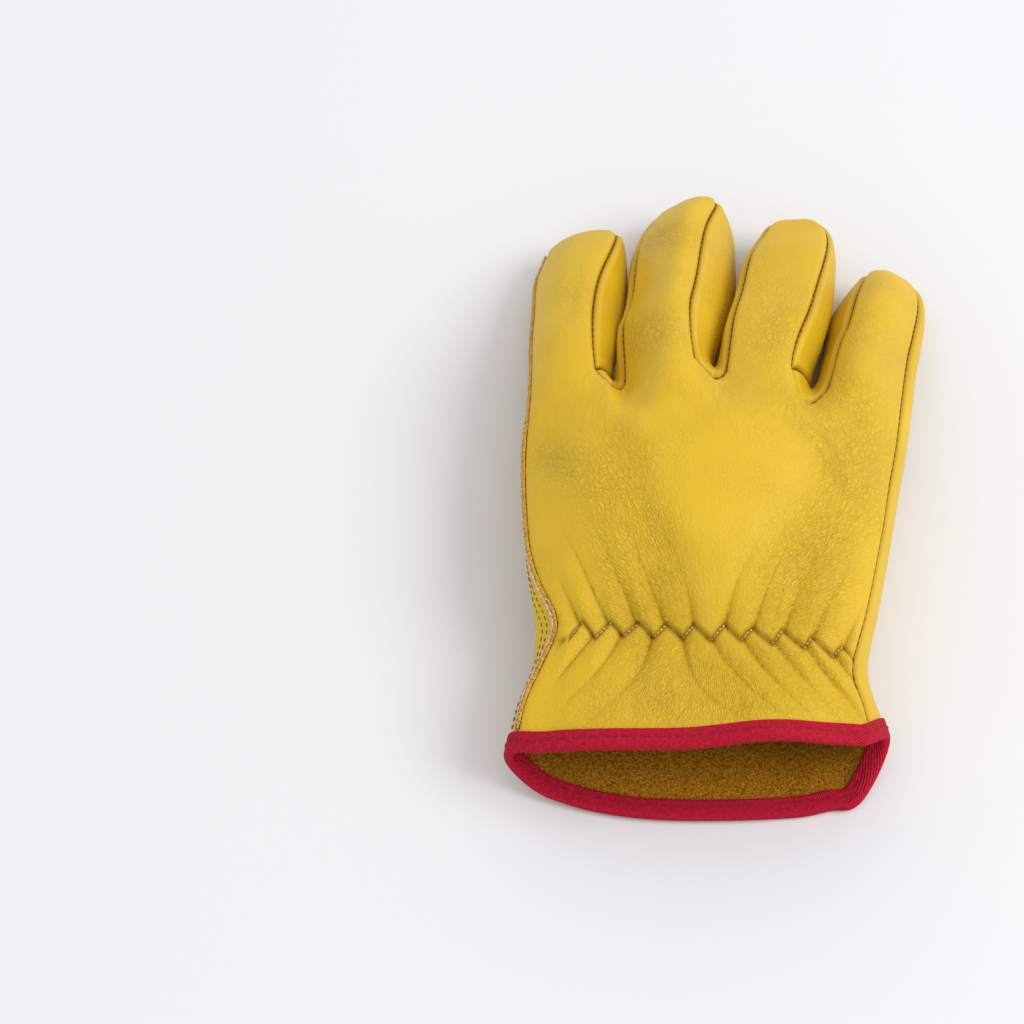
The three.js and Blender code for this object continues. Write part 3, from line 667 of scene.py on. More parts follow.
def shaped(places, normals, distance, kind, on_back, edge_rows, fine):
    """Places of one leather piece's outer face (fine) or inner face, and the painted shade of each place in
    its creases, gathers and seam grooves.
    """
    height, crease_shade, wear = (np.zeros(len(places)) for _ in range(3))
    if on_back:
        x, y = places[:, 0], places[:, 1]
        puff, crease_shade = gathers(x, y)
        height = folds(x, y) * smooth(distance / SEAM_CALM) + puff * smooth(distance / GATHER_CALM)
        if fine:
            wear = fine_creases(places)
    free = ~edge_rows
    roll = np.exp(-((distance / GROOVE["half"]) ** 2))
    lip = np.exp(-(((distance - GROOVE["lip_at"]) / GROOVE["lip_half"]) ** 2))
    turned = (kind == TURNED) & free
    lapped = (kind == LAPPED) & free
    if fine:
        height += turned * (GROOVE["lip"] * lip - GROOVE["depth"] * roll) - wear
        height += lapped * roll * (-LAP_RISE - LAP_TUCK if on_back else LAP_RISE)
        # painted shade: the colour darkens in the gather creases, the fine creases and the seam grooves,
        # where shade falls
        crease_shade = np.maximum(crease_shade, np.clip(wear / SHADE["wear_depth"], 0, 1) * SHADE["wear"])
        crease_shade = np.maximum(crease_shade, roll * SHADE["seam"])
    else:
        lap = lapped * roll * (-LAP_RISE if on_back else LAP_RISE)
        height += turned * -INNER_GROOVE * roll + lap - LEATHER
    made = places + normals * height[:, None]
    made[:, 2] = np.maximum(made[:, 2], 0 if fine else LEATHER)
    return made, crease_shade


def drawn_grain(places):
    """Places on a fan whose ribs run to the wrist, and how far the grain is drawn into long wrinkles."""
    x, y = places[:, 0] - GRAIN_FAN["x"], places[:, 1] - GRAIN_FAN["y"]
    angle, away = np.arctan2(x, np.abs(y) + GRAIN_FAN["behind"]), np.hypot(x, y)
    rise = places[:, 2] * GRAIN_FAN["up"]
    fan = np.stack([angle * GRAIN_FAN["round"], away * GRAIN_FAN["long"], rise], 1)
    drawn = np.zeros(len(places))
    for x0, y0, long, wide, degrees, deep, _ in CREASES:
        along, across = along_across(places, x0, y0, degrees)
        patch_mask = np.exp(-((along / long / DRAWN["long"]) ** 2) - (across / wide / DRAWN["wide"]) ** 2)
        drawn += min(1, deep / DRAWN["depth"]) * patch_mask
    return fan, np.clip(drawn, 0, 1)


# Leather
# Full-grain cowhide, dyed a bright yellow and lightly waxed. The flesh side inside is brown suede, and the
# edges show the undyed middle of the hide.
def paint(red, green, blue):
    """A colour given as it looks on screen, 0 to 255, as the shader needs it."""
    values = (c / 255 for c in (red, green, blue))
    return tuple(c / 12.92 if c <= 0.04045 else ((c + 0.055) / 1.055) ** 2.4 for c in values) + (1,)


def add_node(tree, kind, sockets, **settings):
    """A shader node with its settings, and each socket given a value or joined to another node's output."""
    made = tree.nodes.new(kind)
    for key, value in settings.items():
        setattr(made, key, value)
    for key, value in sockets.items():
        if isinstance(value, bpy.types.NodeSocket):
            tree.links.new(value, made.inputs[key])
        else:
            made.inputs[key].default_value = value
    return made


def ramp(tree, factor, *stops):
    """A colour ramp over the factor; each stop is a place and a colour."""
    made = add_node(tree, "ShaderNodeValToRGB", {"Fac": factor})
    while len(made.color_ramp.elements) < len(stops):
        made.color_ramp.elements.new(0.5)
    for element, (place, colour) in zip(made.color_ramp.elements, stops):
        element.position = place
        element.color = colour
    return made.outputs["Color"]


def new_material(name, roughness, specular=0.5):
    material = bpy.data.materials.new(name)
    material.use_nodes = True
    tree = material.node_tree
    shader = tree.nodes["Principled BSDF"]
    shader.inputs["Roughness"].default_value = roughness
    shader.inputs["Specular IOR Level"].default_value = specular
    return material, tree, shader


def object_place(tree):
    return add_node(tree, "ShaderNodeTexCoord", {}).outputs["Object"]


def attribute(tree, name, output="Fac"):
    return add_node(tree, "ShaderNodeAttribute", {}, attribute_name=name).outputs[output]


def speckle(tree, place, scale, detail, rough=0.5, output="Fac"):
    """A soft noise, with about this many spots in a metre."""
    sockets = {"Vector": place, "Scale": scale, "Detail": detail, "Roughness": rough}
    return add_node(tree, "ShaderNodeTexNoise", sockets).outputs[output]


def multiply(tree, a, b):
    return add_node(tree, "ShaderNodeMath", {0: a, 1: b}, operation="MULTIPLY").outputs[0]


def blended(tree, factor, a, b, how="MIX"):
    """Two colours or vectors mixed by a factor."""
    made = add_node(tree, "ShaderNodeMix", {"Factor": factor}, data_type="RGBA", blend_type=how)
    for socket, value in ((made.inputs[6], a), (made.inputs[7], b)):
        if isinstance(value, bpy.types.NodeSocket):
            tree.links.new(value, socket)
        else:
            socket.default_value = value
    return made.outputs[2]


def bumped(tree, height, strength, high, under=None):
    """Relief of a pattern, this high in metres, over another relief."""
    sockets = {"Height": height, "Strength": strength, "Distance": high}
    if under is not None:
        sockets["Normal"] = under
    return add_node(tree, "ShaderNodeBump", sockets).outputs[0]


WHITE, BLACK = (1, 1, 1, 1), (0, 0, 0, 1)
YELLOWS = (0.3, paint(209, 169, 26)), (0.7, paint(217, 179, 34))
# painted shade: the brown that the creases, gathers and seam grooves are darkened towards
CREASE_SHADE_BROWN = paint(128, 80, 6)
# Relief of the grain: cells in a metre, share of a cell that its line takes, strength, height in metres
PORES = {"scale": 2600.0, "strength": 0.12, "high": 0.0002}
PEBBLE = {"scale": 900.0, "line": 0.3, "strength": 0.3, "high": 0.0002}
CRACKS = {"scale": 640.0, "line": 0.18, "strength": 0.4, "high": 0.0003}
WRINKLES = {"scale": 1000.0, "line": 0.3, "strength": 0.6, "high": 0.0004}
WARP = {"scale": 260.0, "by": 0.0022}
CRACKED_PATCHES = (0.42, (0.12, 0.12, 0.12, 1)), (0.62, WHITE)
LINE_COLOUR = {"wrinkles": 0.85, "cracks": 0.3, "all": 0.16, "crease_shade": 0.6}


def grain_material():
    material, tree, shader = new_material("yellow_grain_leather", 0.46, 0.3)
    place = object_place(tree)
    warp = speckle(tree, place, WARP["scale"], 2.0, output="Color")

    def net(vector, size):
        """A net of fine lines between round cells: 0 on the lines, 1 inside the cells."""
        sockets = {"Vector": blended(tree, WARP["by"], vector, warp, "ADD"), "Scale": size["scale"]}
        cells = add_node(tree, "ShaderNodeTexVoronoi", sockets, feature="DISTANCE_TO_EDGE")
        return ramp(tree, cells.outputs["Distance"], (0.0, BLACK), (size["line"], WHITE))

    pebble, cracks = net(place, PEBBLE), net(place, CRACKS)
    wrinkles = net(attribute(tree, "fan", "Vector"), WRINKLES)
    drawn, crease_shade = attribute(tree, "drawn"), attribute(tree, "crease_shade")
    patchy = ramp(tree, speckle(tree, place, 55.0, 2.0), *CRACKED_PATCHES)
    lines = blended(tree, multiply(tree, drawn, LINE_COLOUR["wrinkles"]), WHITE, wrinkles)
    lines = blended(tree, multiply(tree, patchy, LINE_COLOUR["cracks"]), lines, cracks, "MULTIPLY")
    base = ramp(tree, speckle(tree, place, 38.0, 4.0), *YELLOWS)
    worn = blended(tree, LINE_COLOUR["all"], base, lines, "MULTIPLY")
    # painted shade: the base colour is darkened towards the crease brown in creases and seam grooves
    dark = blended(tree, multiply(tree, crease_shade, LINE_COLOUR["crease_shade"]), worn, CREASE_SHADE_BROWN)
    tree.links.new(dark, shader.inputs["Base Color"])
    bump = bumped(tree, speckle(tree, place, PORES["scale"], 3.0), PORES["strength"], PORES["high"])
    bump = bumped(tree, pebble, PEBBLE["strength"], PEBBLE["high"], bump)
    bump = bumped(tree, cracks, multiply(tree, patchy, CRACKS["strength"]), CRACKS["high"], bump)
    bump = bumped(tree, wrinkles, multiply(tree, drawn, WRINKLES["strength"]), WRINKLES["high"], bump)
    tree.links.new(bump, shader.inputs["Normal"])
    return material


# the suede's own mottled browns, laid on the same noise as its relief: partly painted shade in the hollows of
# the nap and painted highlight on its raised specks
SUEDE_BROWNS = (0.36, paint(112, 62, 4)), (0.5, paint(186, 122, 18)), (0.64, paint(238, 180, 66))
SUEDE_PAINTED_SHADE = {"from": -0.1, "to": -0.062, "to_colour": (0.25, 0.2, 0.12, 1)}  # painted shade by y in metres: darker further into the hand, where less light reaches


def suede_material():
    material, tree, shader = new_material("brown_suede", 0.95, 0.1)
    place = object_place(tree)
    nap = speckle(tree, place, 1500.0, 6.0, 0.75)
    along = add_node(tree, "ShaderNodeSeparateXYZ", {"Vector": place}).outputs["Y"]
    deep = add_node(tree, "ShaderNodeMapRange", {
        "Value": along, "From Min": SUEDE_PAINTED_SHADE["from"], "From Max": SUEDE_PAINTED_SHADE["to"],
        "To Min": 0.0, "To Max": 1.0}).outputs[0]
    # painted shade: the suede is darkened deeper inside the cuff, where the light falls off
    painted_shade = ramp(tree, deep, (0.0, WHITE), (1.0, SUEDE_PAINTED_SHADE["to_colour"]))
    colour = blended(tree, 1.0, ramp(tree, nap, *SUEDE_BROWNS), painted_shade, "MULTIPLY")
    tree.links.new(colour, shader.inputs["Base Color"])
    tree.links.new(bumped(tree, nap, 1.0, 0.0012), shader.inputs["Normal"])
    return material


RAW_BROWNS = (0.35, paint(150, 92, 16)), (0.5, paint(214, 158, 44)), (0.68, paint(240, 204, 120))


def fibre_material(name, roughness, scale, colours, high):
    """Raw hide: matted fibres, with painted shade between them and painted light on their tips."""
    material, tree, shader = new_material(name, roughness)
    fibre = speckle(tree, object_place(tree), scale, 5.0, 0.7)
    # colour and relief come from one noise: painted shade where the fibres sink, painted light where they
    # rise
    tree.links.new(ramp(tree, fibre, *colours), shader.inputs["Base Color"])
    tree.links.new(bumped(tree, fibre, 1.0, high), shader.inputs["Normal"])
    return material


GRAIN_SIDE, SUEDE_SIDE, CUT_SIDE = 0, 1, 2  # the faces of a leather piece, by their material
GRAIN, SUEDE = grain_material(), suede_material()
RAW_EDGE = fibre_material("raw_leather_edge", 0.9, 1500.0, RAW_BROWNS, 0.0006)
leather_tree = tree_of(fine_places)


def one_sided(quads):
    """Edges of a set of faces that only one of them uses, as they run round that face."""
    sides = np.stack([quads, np.roll(quads, -1, 1)], 2).reshape(-1, 2)
    directed = set(map(tuple, sides.tolist()))
    return [edge for edge in directed if edge[::-1] not in directed]


def inward(places, normals, border):
    """For each vertex of a border, the way along the surface into the piece."""
    ways = {}
    for a, b in border:
        side = np.cross(normals[a], places[b] - places[a])
        for v in (a, b):
            ways[v] = ways.get(v, 0) + side / max(np.linalg.norm(side), 1e-9)
    return {v: way / max(np.linalg.norm(way), 1e-9) for v, way in ways.items()}


CUFF_ROWS = 5.5  # width of the strip inside the binding
open_edge = {v for edge in one_sided(fine_quads) for v in edge}
cuff_tree = tree_of(fine_places[sorted(open_edge)])


def in_binding(places):
    """Which places the binding covers."""
    return np.array([cuff_tree.find(place)[2] < CUFF_ROWS for place in places.tolist()])


def metres(places):
    """Tabled millimetres as metres from the middle of the glove."""
    return (places - (*CENTRE, 0)) * MM


def add_piece(name, mesh):
    """A finished mesh as a piece that rides on the glove."""
    piece = bpy.data.objects.new(name, mesh)
    bpy.context.collection.objects.link(piece)
    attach(piece, "root")
    return piece


def leather_piece(name, cut):
    """One cut of the smooth surface as a closed sheet: grain outside, suede inside, raw edges between."""
    number = CUTS.index(cut)
    on_back = cut == "back"
    outer_quads = fine_quads[fine_cuts == number]
    inner_quads = coarse_quads[coarse_cuts == number]
    outer_ids, outer_faces = np.unique(outer_quads, return_inverse=True)
    inner_ids, inner_faces = np.unique(inner_quads, return_inverse=True)
    outer_faces, inner_faces = outer_faces.reshape(-1, 4), inner_faces.reshape(-1, 4)
    outer_start, inner_start = fine_places[outer_ids], coarse_places[inner_ids]
    outer, crease_shade = shaped(
        outer_start, fine_normals[outer_ids], fine_distance[outer_ids], fine_kind[outer_ids],
        on_back, in_binding(outer_start), True)
    inner, _ = shaped(
        inner_start, coarse_normals[inner_ids], coarse_distance[inner_ids], coarse_kind[inner_ids],
        on_back, in_binding(inner_start), False)
    outer_border, inner_border = one_sided(outer_faces), one_sided(inner_faces)
    for places, normals, border in (
        (outer, fine_normals[outer_ids], outer_border),
        (inner, coarse_normals[inner_ids], inner_border),
    ):
        for v, way in inward(places, normals, border).items():
            places[v] += way * SEAM_GAP
    # The cut edge: each side of the inner border is joined to the two sides of the outer one that it faces.
    onward = dict(outer_border)
    local = {v: i for i, v in enumerate(outer_ids.tolist())}
    twin = {v: local[leather_tree.find(inner_start[v])[1]] for edge in inner_border for v in edge}
    start = len(outer)
    faces = outer_faces.tolist() + (inner_faces[:, ::-1] + start).tolist()
    for a, b in inner_border:
        faces.append([twin[b], onward[twin[a]], twin[a], a + start, b + start])
    counts = [len(outer_faces), len(inner_faces), len(inner_border)]
    finish = np.repeat([GRAIN_SIDE, SUEDE_SIDE, CUT_SIDE], counts)
    mesh = bpy.data.meshes.new(name)
    mesh.from_pydata(metres(np.concatenate([outer, inner])), [], faces)
    mesh.polygons.foreach_set("material_index", finish)
    mesh.polygons.foreach_set("use_smooth", [True] * len(faces))
    values = np.concatenate([crease_shade, np.zeros(len(inner))])
    mesh.attributes.new("crease_shade", "FLOAT", "POINT").data.foreach_set("value", values)
    fan, drawn = drawn_grain(np.concatenate([outer, inner]))
    mesh.attributes.new("drawn", "FLOAT", "POINT").data.foreach_set("value", drawn * on_back)
    mesh.attributes.new("fan", "FLOAT_VECTOR", "POINT").data.foreach_set("vector", (fan * MM).ravel())
    for material in (GRAIN, SUEDE, RAW_EDGE):
        mesh.materials.append(material)
    mesh.update()
    return add_piece(name, mesh)


# Back piece
# One piece of leather covers the back of the hand and the tops of the four fingers. It is sewn to the palm
# piece and the finger fronts all round, and the wrist elastic gathers it.
back_piece = leather_piece("back_leather", "back")
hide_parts("back_panel")

# Palm piece
# One piece of leather makes the palm, the front of the index finger and the whole little finger front. It
# wraps round the outer edge of the hand to the seam on the back, and the thumb is set into a hole in it.
palm_piece = leather_piece("palm_leather", "palm")
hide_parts("palm_panel")

# Front of the middle and ring fingers
# One piece of leather makes the fronts and the side walls of both fingers. Its straight lower edge is sewn on
# across the palm piece, below the fingers.
front_piece = leather_piece("finger_front_leather", "front")
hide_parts("finger_front")

# Thumb
# A tube of leather is sewn into the hole of the palm piece. It lies folded under the palm, pressed flat by
# the hand above.
thumb_piece = leather_piece("thumb_leather", "thumb")
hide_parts("thumb")

# Cuff binding
# A tape of red cotton twill, folded over the whole cuff edge and sewn through it. It covers 5 mm of the
# leather on both sides and runs round the cuff in one closed loop.
TAPE_PROFILE = [  # across the leather, along it; from the outer edge of the tape round to the inner one
    (0.35, -5.0), (0.75, -4.9), (0.85, -4.2), (0.8, -3.4), (0.88, -2.4), (0.92, -1.2), (0.88, 0), (0.6, 0.75),
    (0.1, 1.1), (-0.6, 1.2), (-1.3, 1.1), (-1.8, 0.75), (-2.08, 0), (-2.12, -1.2), (-2.08, -2.4),
    (-2.0, -3.4), (-2.05, -4.2), (-1.95, -4.9), (-1.55, -5.0),
]
TAPE_WIDTH = 5
TWILL = 0.00042  # one rib of the weave, in metres
WAVE_BAND = 0.31  # one band of the wave texture at scale 1
CLOSING_SPAN = 0.3  # width given to the last span of a profile in the weave
TWILL_REDS = (0.0, paint(138, 8, 32)), (0.6, paint(204, 30, 58))
TWILL_LINT = (0.35, paint(200, 190, 190)), (0.65, WHITE)


def twill_material():
    material, tree, shader = new_material("red_twill_tape", 0.85, 0.12)
    uv = add_node(tree, "ShaderNodeUVMap", {}, uv_map="weave").outputs[0]
    ribs = add_node(tree, "ShaderNodeTexWave", {
        "Vector": uv, "Scale": WAVE_BAND / TWILL, "Distortion": 0.6, "Detail": 1.0, "Detail Scale": 3.0,
    }, bands_direction="DIAGONAL").outputs["Fac"]
    lint = speckle(tree, uv, 900.0, 4.0)
    thread = ramp(tree, ribs, *TWILL_REDS)
    worn = ramp(tree, lint, *TWILL_LINT)
    tree.links.new(blended(tree, 0.8, thread, worn, "MULTIPLY"), shader.inputs["Base Color"])
    bump = bumped(tree, lint, 0.3, 0.0002, bumped(tree, ribs, 0.55, 0.00015))
    tree.links.new(bump, shader.inputs["Normal"])
    return material


onward = dict(one_sided(fine_quads))
cuff_line = [min(onward)]
while onward[cuff_line[-1]] != cuff_line[0]:
    cuff_line.append(onward[cuff_line[-1]])
cuff_places = fine_places[cuff_line]
cuff_normals = fine_normals[cuff_line]
cuff_ways = inward(fine_places, fine_normals, list(onward.items()))
cuff_inward = np.array([cuff_ways[v] for v in cuff_line])


def swept(name, rings, closed, material):
    """A tube through rings of points, its unrolled lengths as UV; closed joins its last ring to the first."""
    rings = np.array(rings)
    count, wide = rings.shape[:2]
    faces, corners = [], []
    along = np.concatenate([[0], np.cumsum(np.linalg.norm(np.diff(rings[:, 0], axis=0), axis=1))])
    around = np.concatenate([[0], np.cumsum(np.linalg.norm(np.diff(rings[0], axis=0), axis=1))])
    around = np.append(around, around[-1] + CLOSING_SPAN)
    step = along[-1] / (count - 1)
    for r in range(count if closed else count - 1):
        for i in range(wide):
            s, j = (r + 1) % count, (i + 1) % wide
            faces.append((r * wide + i, r * wide + j, s * wide + j, s * wide + i))
            low, high, near, far = around[i], around[i + 1], along[r], along[r] + step
            corners += [(near, low), (near, high), (far, high), (far, low)]
    mesh = bpy.data.meshes.new(name)
    mesh.from_pydata(metres(rings.reshape(-1, 3)), [], faces)
    mesh.uv_layers.new(name="weave").uv.foreach_set("vector", np.array(corners).ravel() * MM)
    mesh.polygons.foreach_set("use_smooth", [True] * len(faces))
    mesh.materials.append(material)
    return add_piece(name, mesh)


def surface_at(place, normal, way, along):
    """Where the leather is this far inside the cuff edge, and which way it faces."""
    if along >= 0:
        return place - way * along, normal
    at = place - way * along
    near = leather_tree.find_n(at, 3)
    face = np.mean([fine_normals[i] for _, i, _ in near], axis=0)
    lift = np.dot(np.mean([fine_places[i] for _, i, _ in near], axis=0) - at, face)
    return at + face * lift, face


def cuff_row(across, along):
    """Places round the cuff, this far outside the leather and this far beyond its edge."""
    row = []
    for place, normal, way in zip(cuff_places, cuff_normals, cuff_inward):
        at, face = surface_at(place, normal, way, along)
        row.append(at + face * across)
    return row


tape_rings = list(zip(*(cuff_row(across, along) for across, along in TAPE_PROFILE)))
tape = swept("cuff_tape", tape_rings, True, twill_material())
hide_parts("cuff_binding")

# Seam stitches
# The pieces are sewn with a heavy brown thread, about 27 stitches to 75 mm. It shows deep in the turned seams
# and, on the palm piece, in two rows along the lapped index seam and round the thumb hole.
STITCH = {"pitch": 2.75, "length": 2.1, "thick": 0.4, "sink": 0.68}
STITCHES_FROM = 1.5  # below this height the seams lie on the table and their stitches are left out
SEAM_BREAK = 3  # a longer step along a seam is a gap in it
SHORTEST_SEAM = 4  # in vertices
ROWS = {"pitch": 2.3, "length": 1.5, "thick": 0.34, "rise": 0.08}
INDEX_ROWS = (2.9, 4.9)
HOLE_ROWS = (1.3, 3.2)
THREAD_DARK = 0.55


def thread_material(name, colour):
    material, tree, shader = new_material(name, 0.7)
    strand = speckle(tree, object_place(tree), 2400.0, 2.0)
    darker = tuple(c * THREAD_DARK for c in colour[:3]) + (1,)
    tree.links.new(ramp(tree, strand, (0.35, darker), (0.6, colour)), shader.inputs["Base Color"])
    tree.links.new(bumped(tree, strand, 0.5, 0.0001), shader.inputs["Normal"])
    return material


BROWN_THREAD = thread_material("brown_thread", paint(124, 82, 20))
CREAM_THREAD = thread_material("cream_thread", paint(240, 220, 160))
RED_THREAD = thread_material("red_thread", paint(128, 6, 30))
palm_ways = inward(fine_places, fine_normals, one_sided(fine_quads[fine_cuts == CUTS.index("palm")]))


def along_line(places, pitch):
    """Points this far apart along a line of places: number of the span, share of it."""
    lengths = np.linalg.norm(np.diff(places, axis=0), axis=1)
    ends = np.concatenate([[0], np.cumsum(lengths)])
    for at in np.arange(pitch / 2, ends[-1], pitch):
        span = int(np.searchsorted(ends, at)) - 1
        yield span, (at - ends[span]) / lengths[span]


def smooth_mesh(name, build):
    mesh = bpy.data.meshes.new(name)
    for face in build.faces:
        face.smooth = True
    build.to_mesh(mesh)
    build.free()
    return mesh


def add_copy(build, mesh, centre, way, across, along):
    """A copy of a small mesh about a place, its own z laid along a direction, sized across and along it."""
    turn = Vector(way).to_track_quat("Z", "Y").to_matrix().to_4x4()
    size = Matrix.Diagonal((across, across, along, 1))
    centred = Vector(centre) - Vector((*CENTRE, 0))
    copy = mesh.copy()
    copy.transform(Matrix.Scale(MM, 4) @ Matrix.Translation(centred) @ turn @ size)
    build.from_mesh(copy)
    bpy.data.meshes.remove(copy)


build = bmesh.new()
bmesh.ops.create_uvsphere(build, u_segments=6, v_segments=5, radius=1)
ONE_STITCH = smooth_mesh("one_stitch", build)


def stitch(build, place, way, length, thick):
    """One stitch: a small spindle of thread lying along a direction."""
    add_copy(build, ONE_STITCH, place, way, thick / 2, length / 2)


def sew_line(build, places, size):
    for span, share in along_line(places, size["pitch"]):
        a, b = places[span], places[span + 1]
        stitch(build, mix(a, b, share), b - a, size["length"], size["thick"])


def finish_thread(name, build, material):
    mesh = smooth_mesh(name, build)
    mesh.materials.append(material)
    return add_piece(name, mesh)


build = bmesh.new()
for lines in SEAMS.values():
    for line in lines:
        sunk = [
            fine_places[v] - fine_normals[v] * STITCH["sink"] for v in line
            if v not in index_seam and fine_places[v][2] > STITCHES_FROM
        ]
        if len(sunk) >= SHORTEST_SEAM:
            steps = np.linalg.norm(np.diff(sunk, axis=0), axis=1)
            for part in np.split(np.array(sunk), np.flatnonzero(steps > SEAM_BREAK) + 1):
                if len(part) >= SHORTEST_SEAM:
                    sew_line(build, part, STITCH)
finish_thread("seam_stitches", build, BROWN_THREAD)

index_line = [
    v for line in SEAMS["back", "palm"] for v in line
    if v in index_seam and cuff_tree.find(fine_places[v])[2] > TAPE_WIDTH
]
if fine_places[index_line[0]][1] > fine_places[index_line[-1]][1]:
    index_line.reverse()
palm_ids = np.unique(fine_quads[fine_cuts == CUTS.index("palm")])
palm_tree = tree_of(fine_places[palm_ids])


def beside(v, offset):
    """A place on the palm piece this far from a seam vertex, a little above the leather."""
    at = fine_places[v] + palm_ways[v] * offset
    near = palm_ids[palm_tree.find(at)[1]]
    return at + fine_normals[near] * (np.dot(fine_places[near] - at, fine_normals[near]) + ROWS["rise"])


build = bmesh.new()
for lines, offsets in (([index_line], INDEX_ROWS), (SEAMS["palm", "thumb"], HOLE_ROWS)):
    for line in lines:
        for offset in offsets:
            sew_line(build, np.array([beside(v, offset) for v in line[::2]]), ROWS)
finish_thread("row_stitches", build, BROWN_THREAD)

# Raw edge of the index seam
# The palm piece's cut edge is left raw along the index side of the hand. Its fuzzy orange core shows beside
# the back piece, and pale fibres stand along its outer corner.
EDGE_CORE = {"side": -0.25, "up": 0.05, "wide": 0.75, "high": 0.62, "rough": 0.6}
EDGE_FIBRE = {"side": 0.42, "up": 0.58, "wide": 0.36, "high": 0.3, "rough": 1.02}
EDGE_SIDES = 8
EDGE_TAPER = {"least": 0.1, "over": 6}  # vertices over which both ends of the edge grow to full size
EDGE_LUMPS = {"along": 0.9, "round": 1.3}  # steps through the noise for each vertex and each side
PALE_BROWNS = (0.36, paint(150, 112, 60)), (0.5, paint(214, 196, 156)), (0.66, paint(246, 240, 224))
PALE_FIBRE = fibre_material("pale_hide_fibre", 0.95, 1700.0, PALE_BROWNS, 0.0005)


def fibrous_edge(name, size, material, seed):
    """A lumpy strand along the cut edge, beside and above the seam line by the given sizes."""
    rings = []
    for number, v in enumerate(index_line):
        at = fine_places[v] + palm_ways[v] * size["side"] + fine_normals[v] * size["up"]
        least, over = EDGE_TAPER["least"], EDGE_TAPER["over"]
        ends = min(1, least + number / over, least + (len(index_line) - 1 - number) / over)
        ring = []
        for i in range(EDGE_SIDES):
            turn = 2 * math.pi * i / EDGE_SIDES
            lump = Vector((number * EDGE_LUMPS["along"], i * EDGE_LUMPS["round"], seed))
            rough = 1 + size["rough"] * noise.noise(lump)
            across = palm_ways[v] * math.cos(turn) * size["wide"]
            across = across + fine_normals[v] * math.sin(turn) * size["high"]
            ring.append(at + across * rough * ends)
        rings.append(ring)
    piece = swept(name, rings, False, material)
    build = bmesh.new()
    build.from_mesh(piece.data)
    bmesh.ops.holes_fill(build, edges=build.edges[:], sides=EDGE_SIDES)
    bmesh.ops.recalc_face_normals(build, faces=build.faces[:])
    build.to_mesh(piece.data)
    build.free()


fibrous_edge("raw_edge_core", EDGE_CORE, RAW_EDGE, 3.3)
fibrous_edge("raw_edge_fibre", EDGE_FIBRE, PALE_FIBRE, 9.1)

HAIRS = {
    "each": 5, "long": 1.15, "shortest": 0.4, "thick": 0.06, "taper": 0.2, "seed": 11,
    "beside": (-0.5, 0.4), "up": 0.4, "rise": 0.7, "lean": 0.7, "stray": 0.6,
}


def thin_cone(name, size, capped):
    """One hair or tuft, 1 mm long, thinner towards its end."""
    build = bmesh.new()
    foot = size["thick"]
    bmesh.ops.create_cone(
        build, segments=3, radius1=foot, radius2=foot * size["taper"], depth=1, cap_ends=capped)
    return smooth_mesh(name, build)


ONE_HAIR = thin_cone("one_hair", HAIRS, True)
chance = np.random.RandomState(HAIRS["seed"])
build = bmesh.new()
for v in index_line:
    out, side = fine_normals[v], palm_ways[v]
    for _ in range(HAIRS["each"]):
        root = fine_places[v] + side * chance.uniform(*HAIRS["beside"]) + out * HAIRS["up"]
        way = out * HAIRS["rise"] + side * chance.normal(0, HAIRS["lean"])
        way = way + chance.normal(0, HAIRS["stray"], 3)
        way /= np.linalg.norm(way)
        length = HAIRS["long"] * chance.uniform(HAIRS["shortest"], 1)
        add_copy(build, ONE_HAIR, root + way * length / 2, way, 1, length)
finish_thread("raw_edge_hairs", build, PALE_FIBRE)

# Suede nap
# The flesh side of the hide is brushed into a short nap. Its tufts stand up inside the mouth of the cuff,
# where they catch the light.
NAP = {
    "count": 9000, "y": (-105, -52), "long": 1.5, "shortest": 0.4, "thick": 0.08, "taper": 0.25,
    "lean": 0.8, "out": 0.35, "seed": 5,
}
# painted highlight: the tufts are coloured lighter than the suede under them; the lamp lights them as well
NAP_COLOUR = paint(226, 158, 40)
ONE_TUFT = thin_cone("one_tuft", NAP, False)
palm_coarse = coarse_quads[coarse_cuts == CUTS.index("palm")]
middles = coarse_places[palm_coarse].mean(1)
low, high = NAP["y"]
inside_mouth = np.flatnonzero((middles[:, 1] > low) & (middles[:, 1] < high) & ~in_binding(middles))
chance = np.random.RandomState(NAP["seed"])
build = bmesh.new()
for quad in chance.choice(inside_mouth, NAP["count"]):
    share = chance.dirichlet((1, 1, 1, 1))
    corners = palm_coarse[quad]
    place, normal = share @ coarse_places[corners], share @ coarse_normals[corners]
    place = place - normal * LEATHER
    place[2] = max(place[2], LEATHER)
    way = -normal + chance.normal(0, NAP["lean"], 3)
    way /= np.linalg.norm(way)
    length = NAP["long"] * chance.uniform(NAP["shortest"], 1)
    add_copy(build, ONE_TUFT, place + way * length * NAP["out"], way, 1, length)
nap_material, _, nap_shader = new_material("suede_tufts", 0.9, 0.1)
nap_shader.inputs["Base Color"].default_value = NAP_COLOUR
finish_thread("suede_nap", build, nap_material)

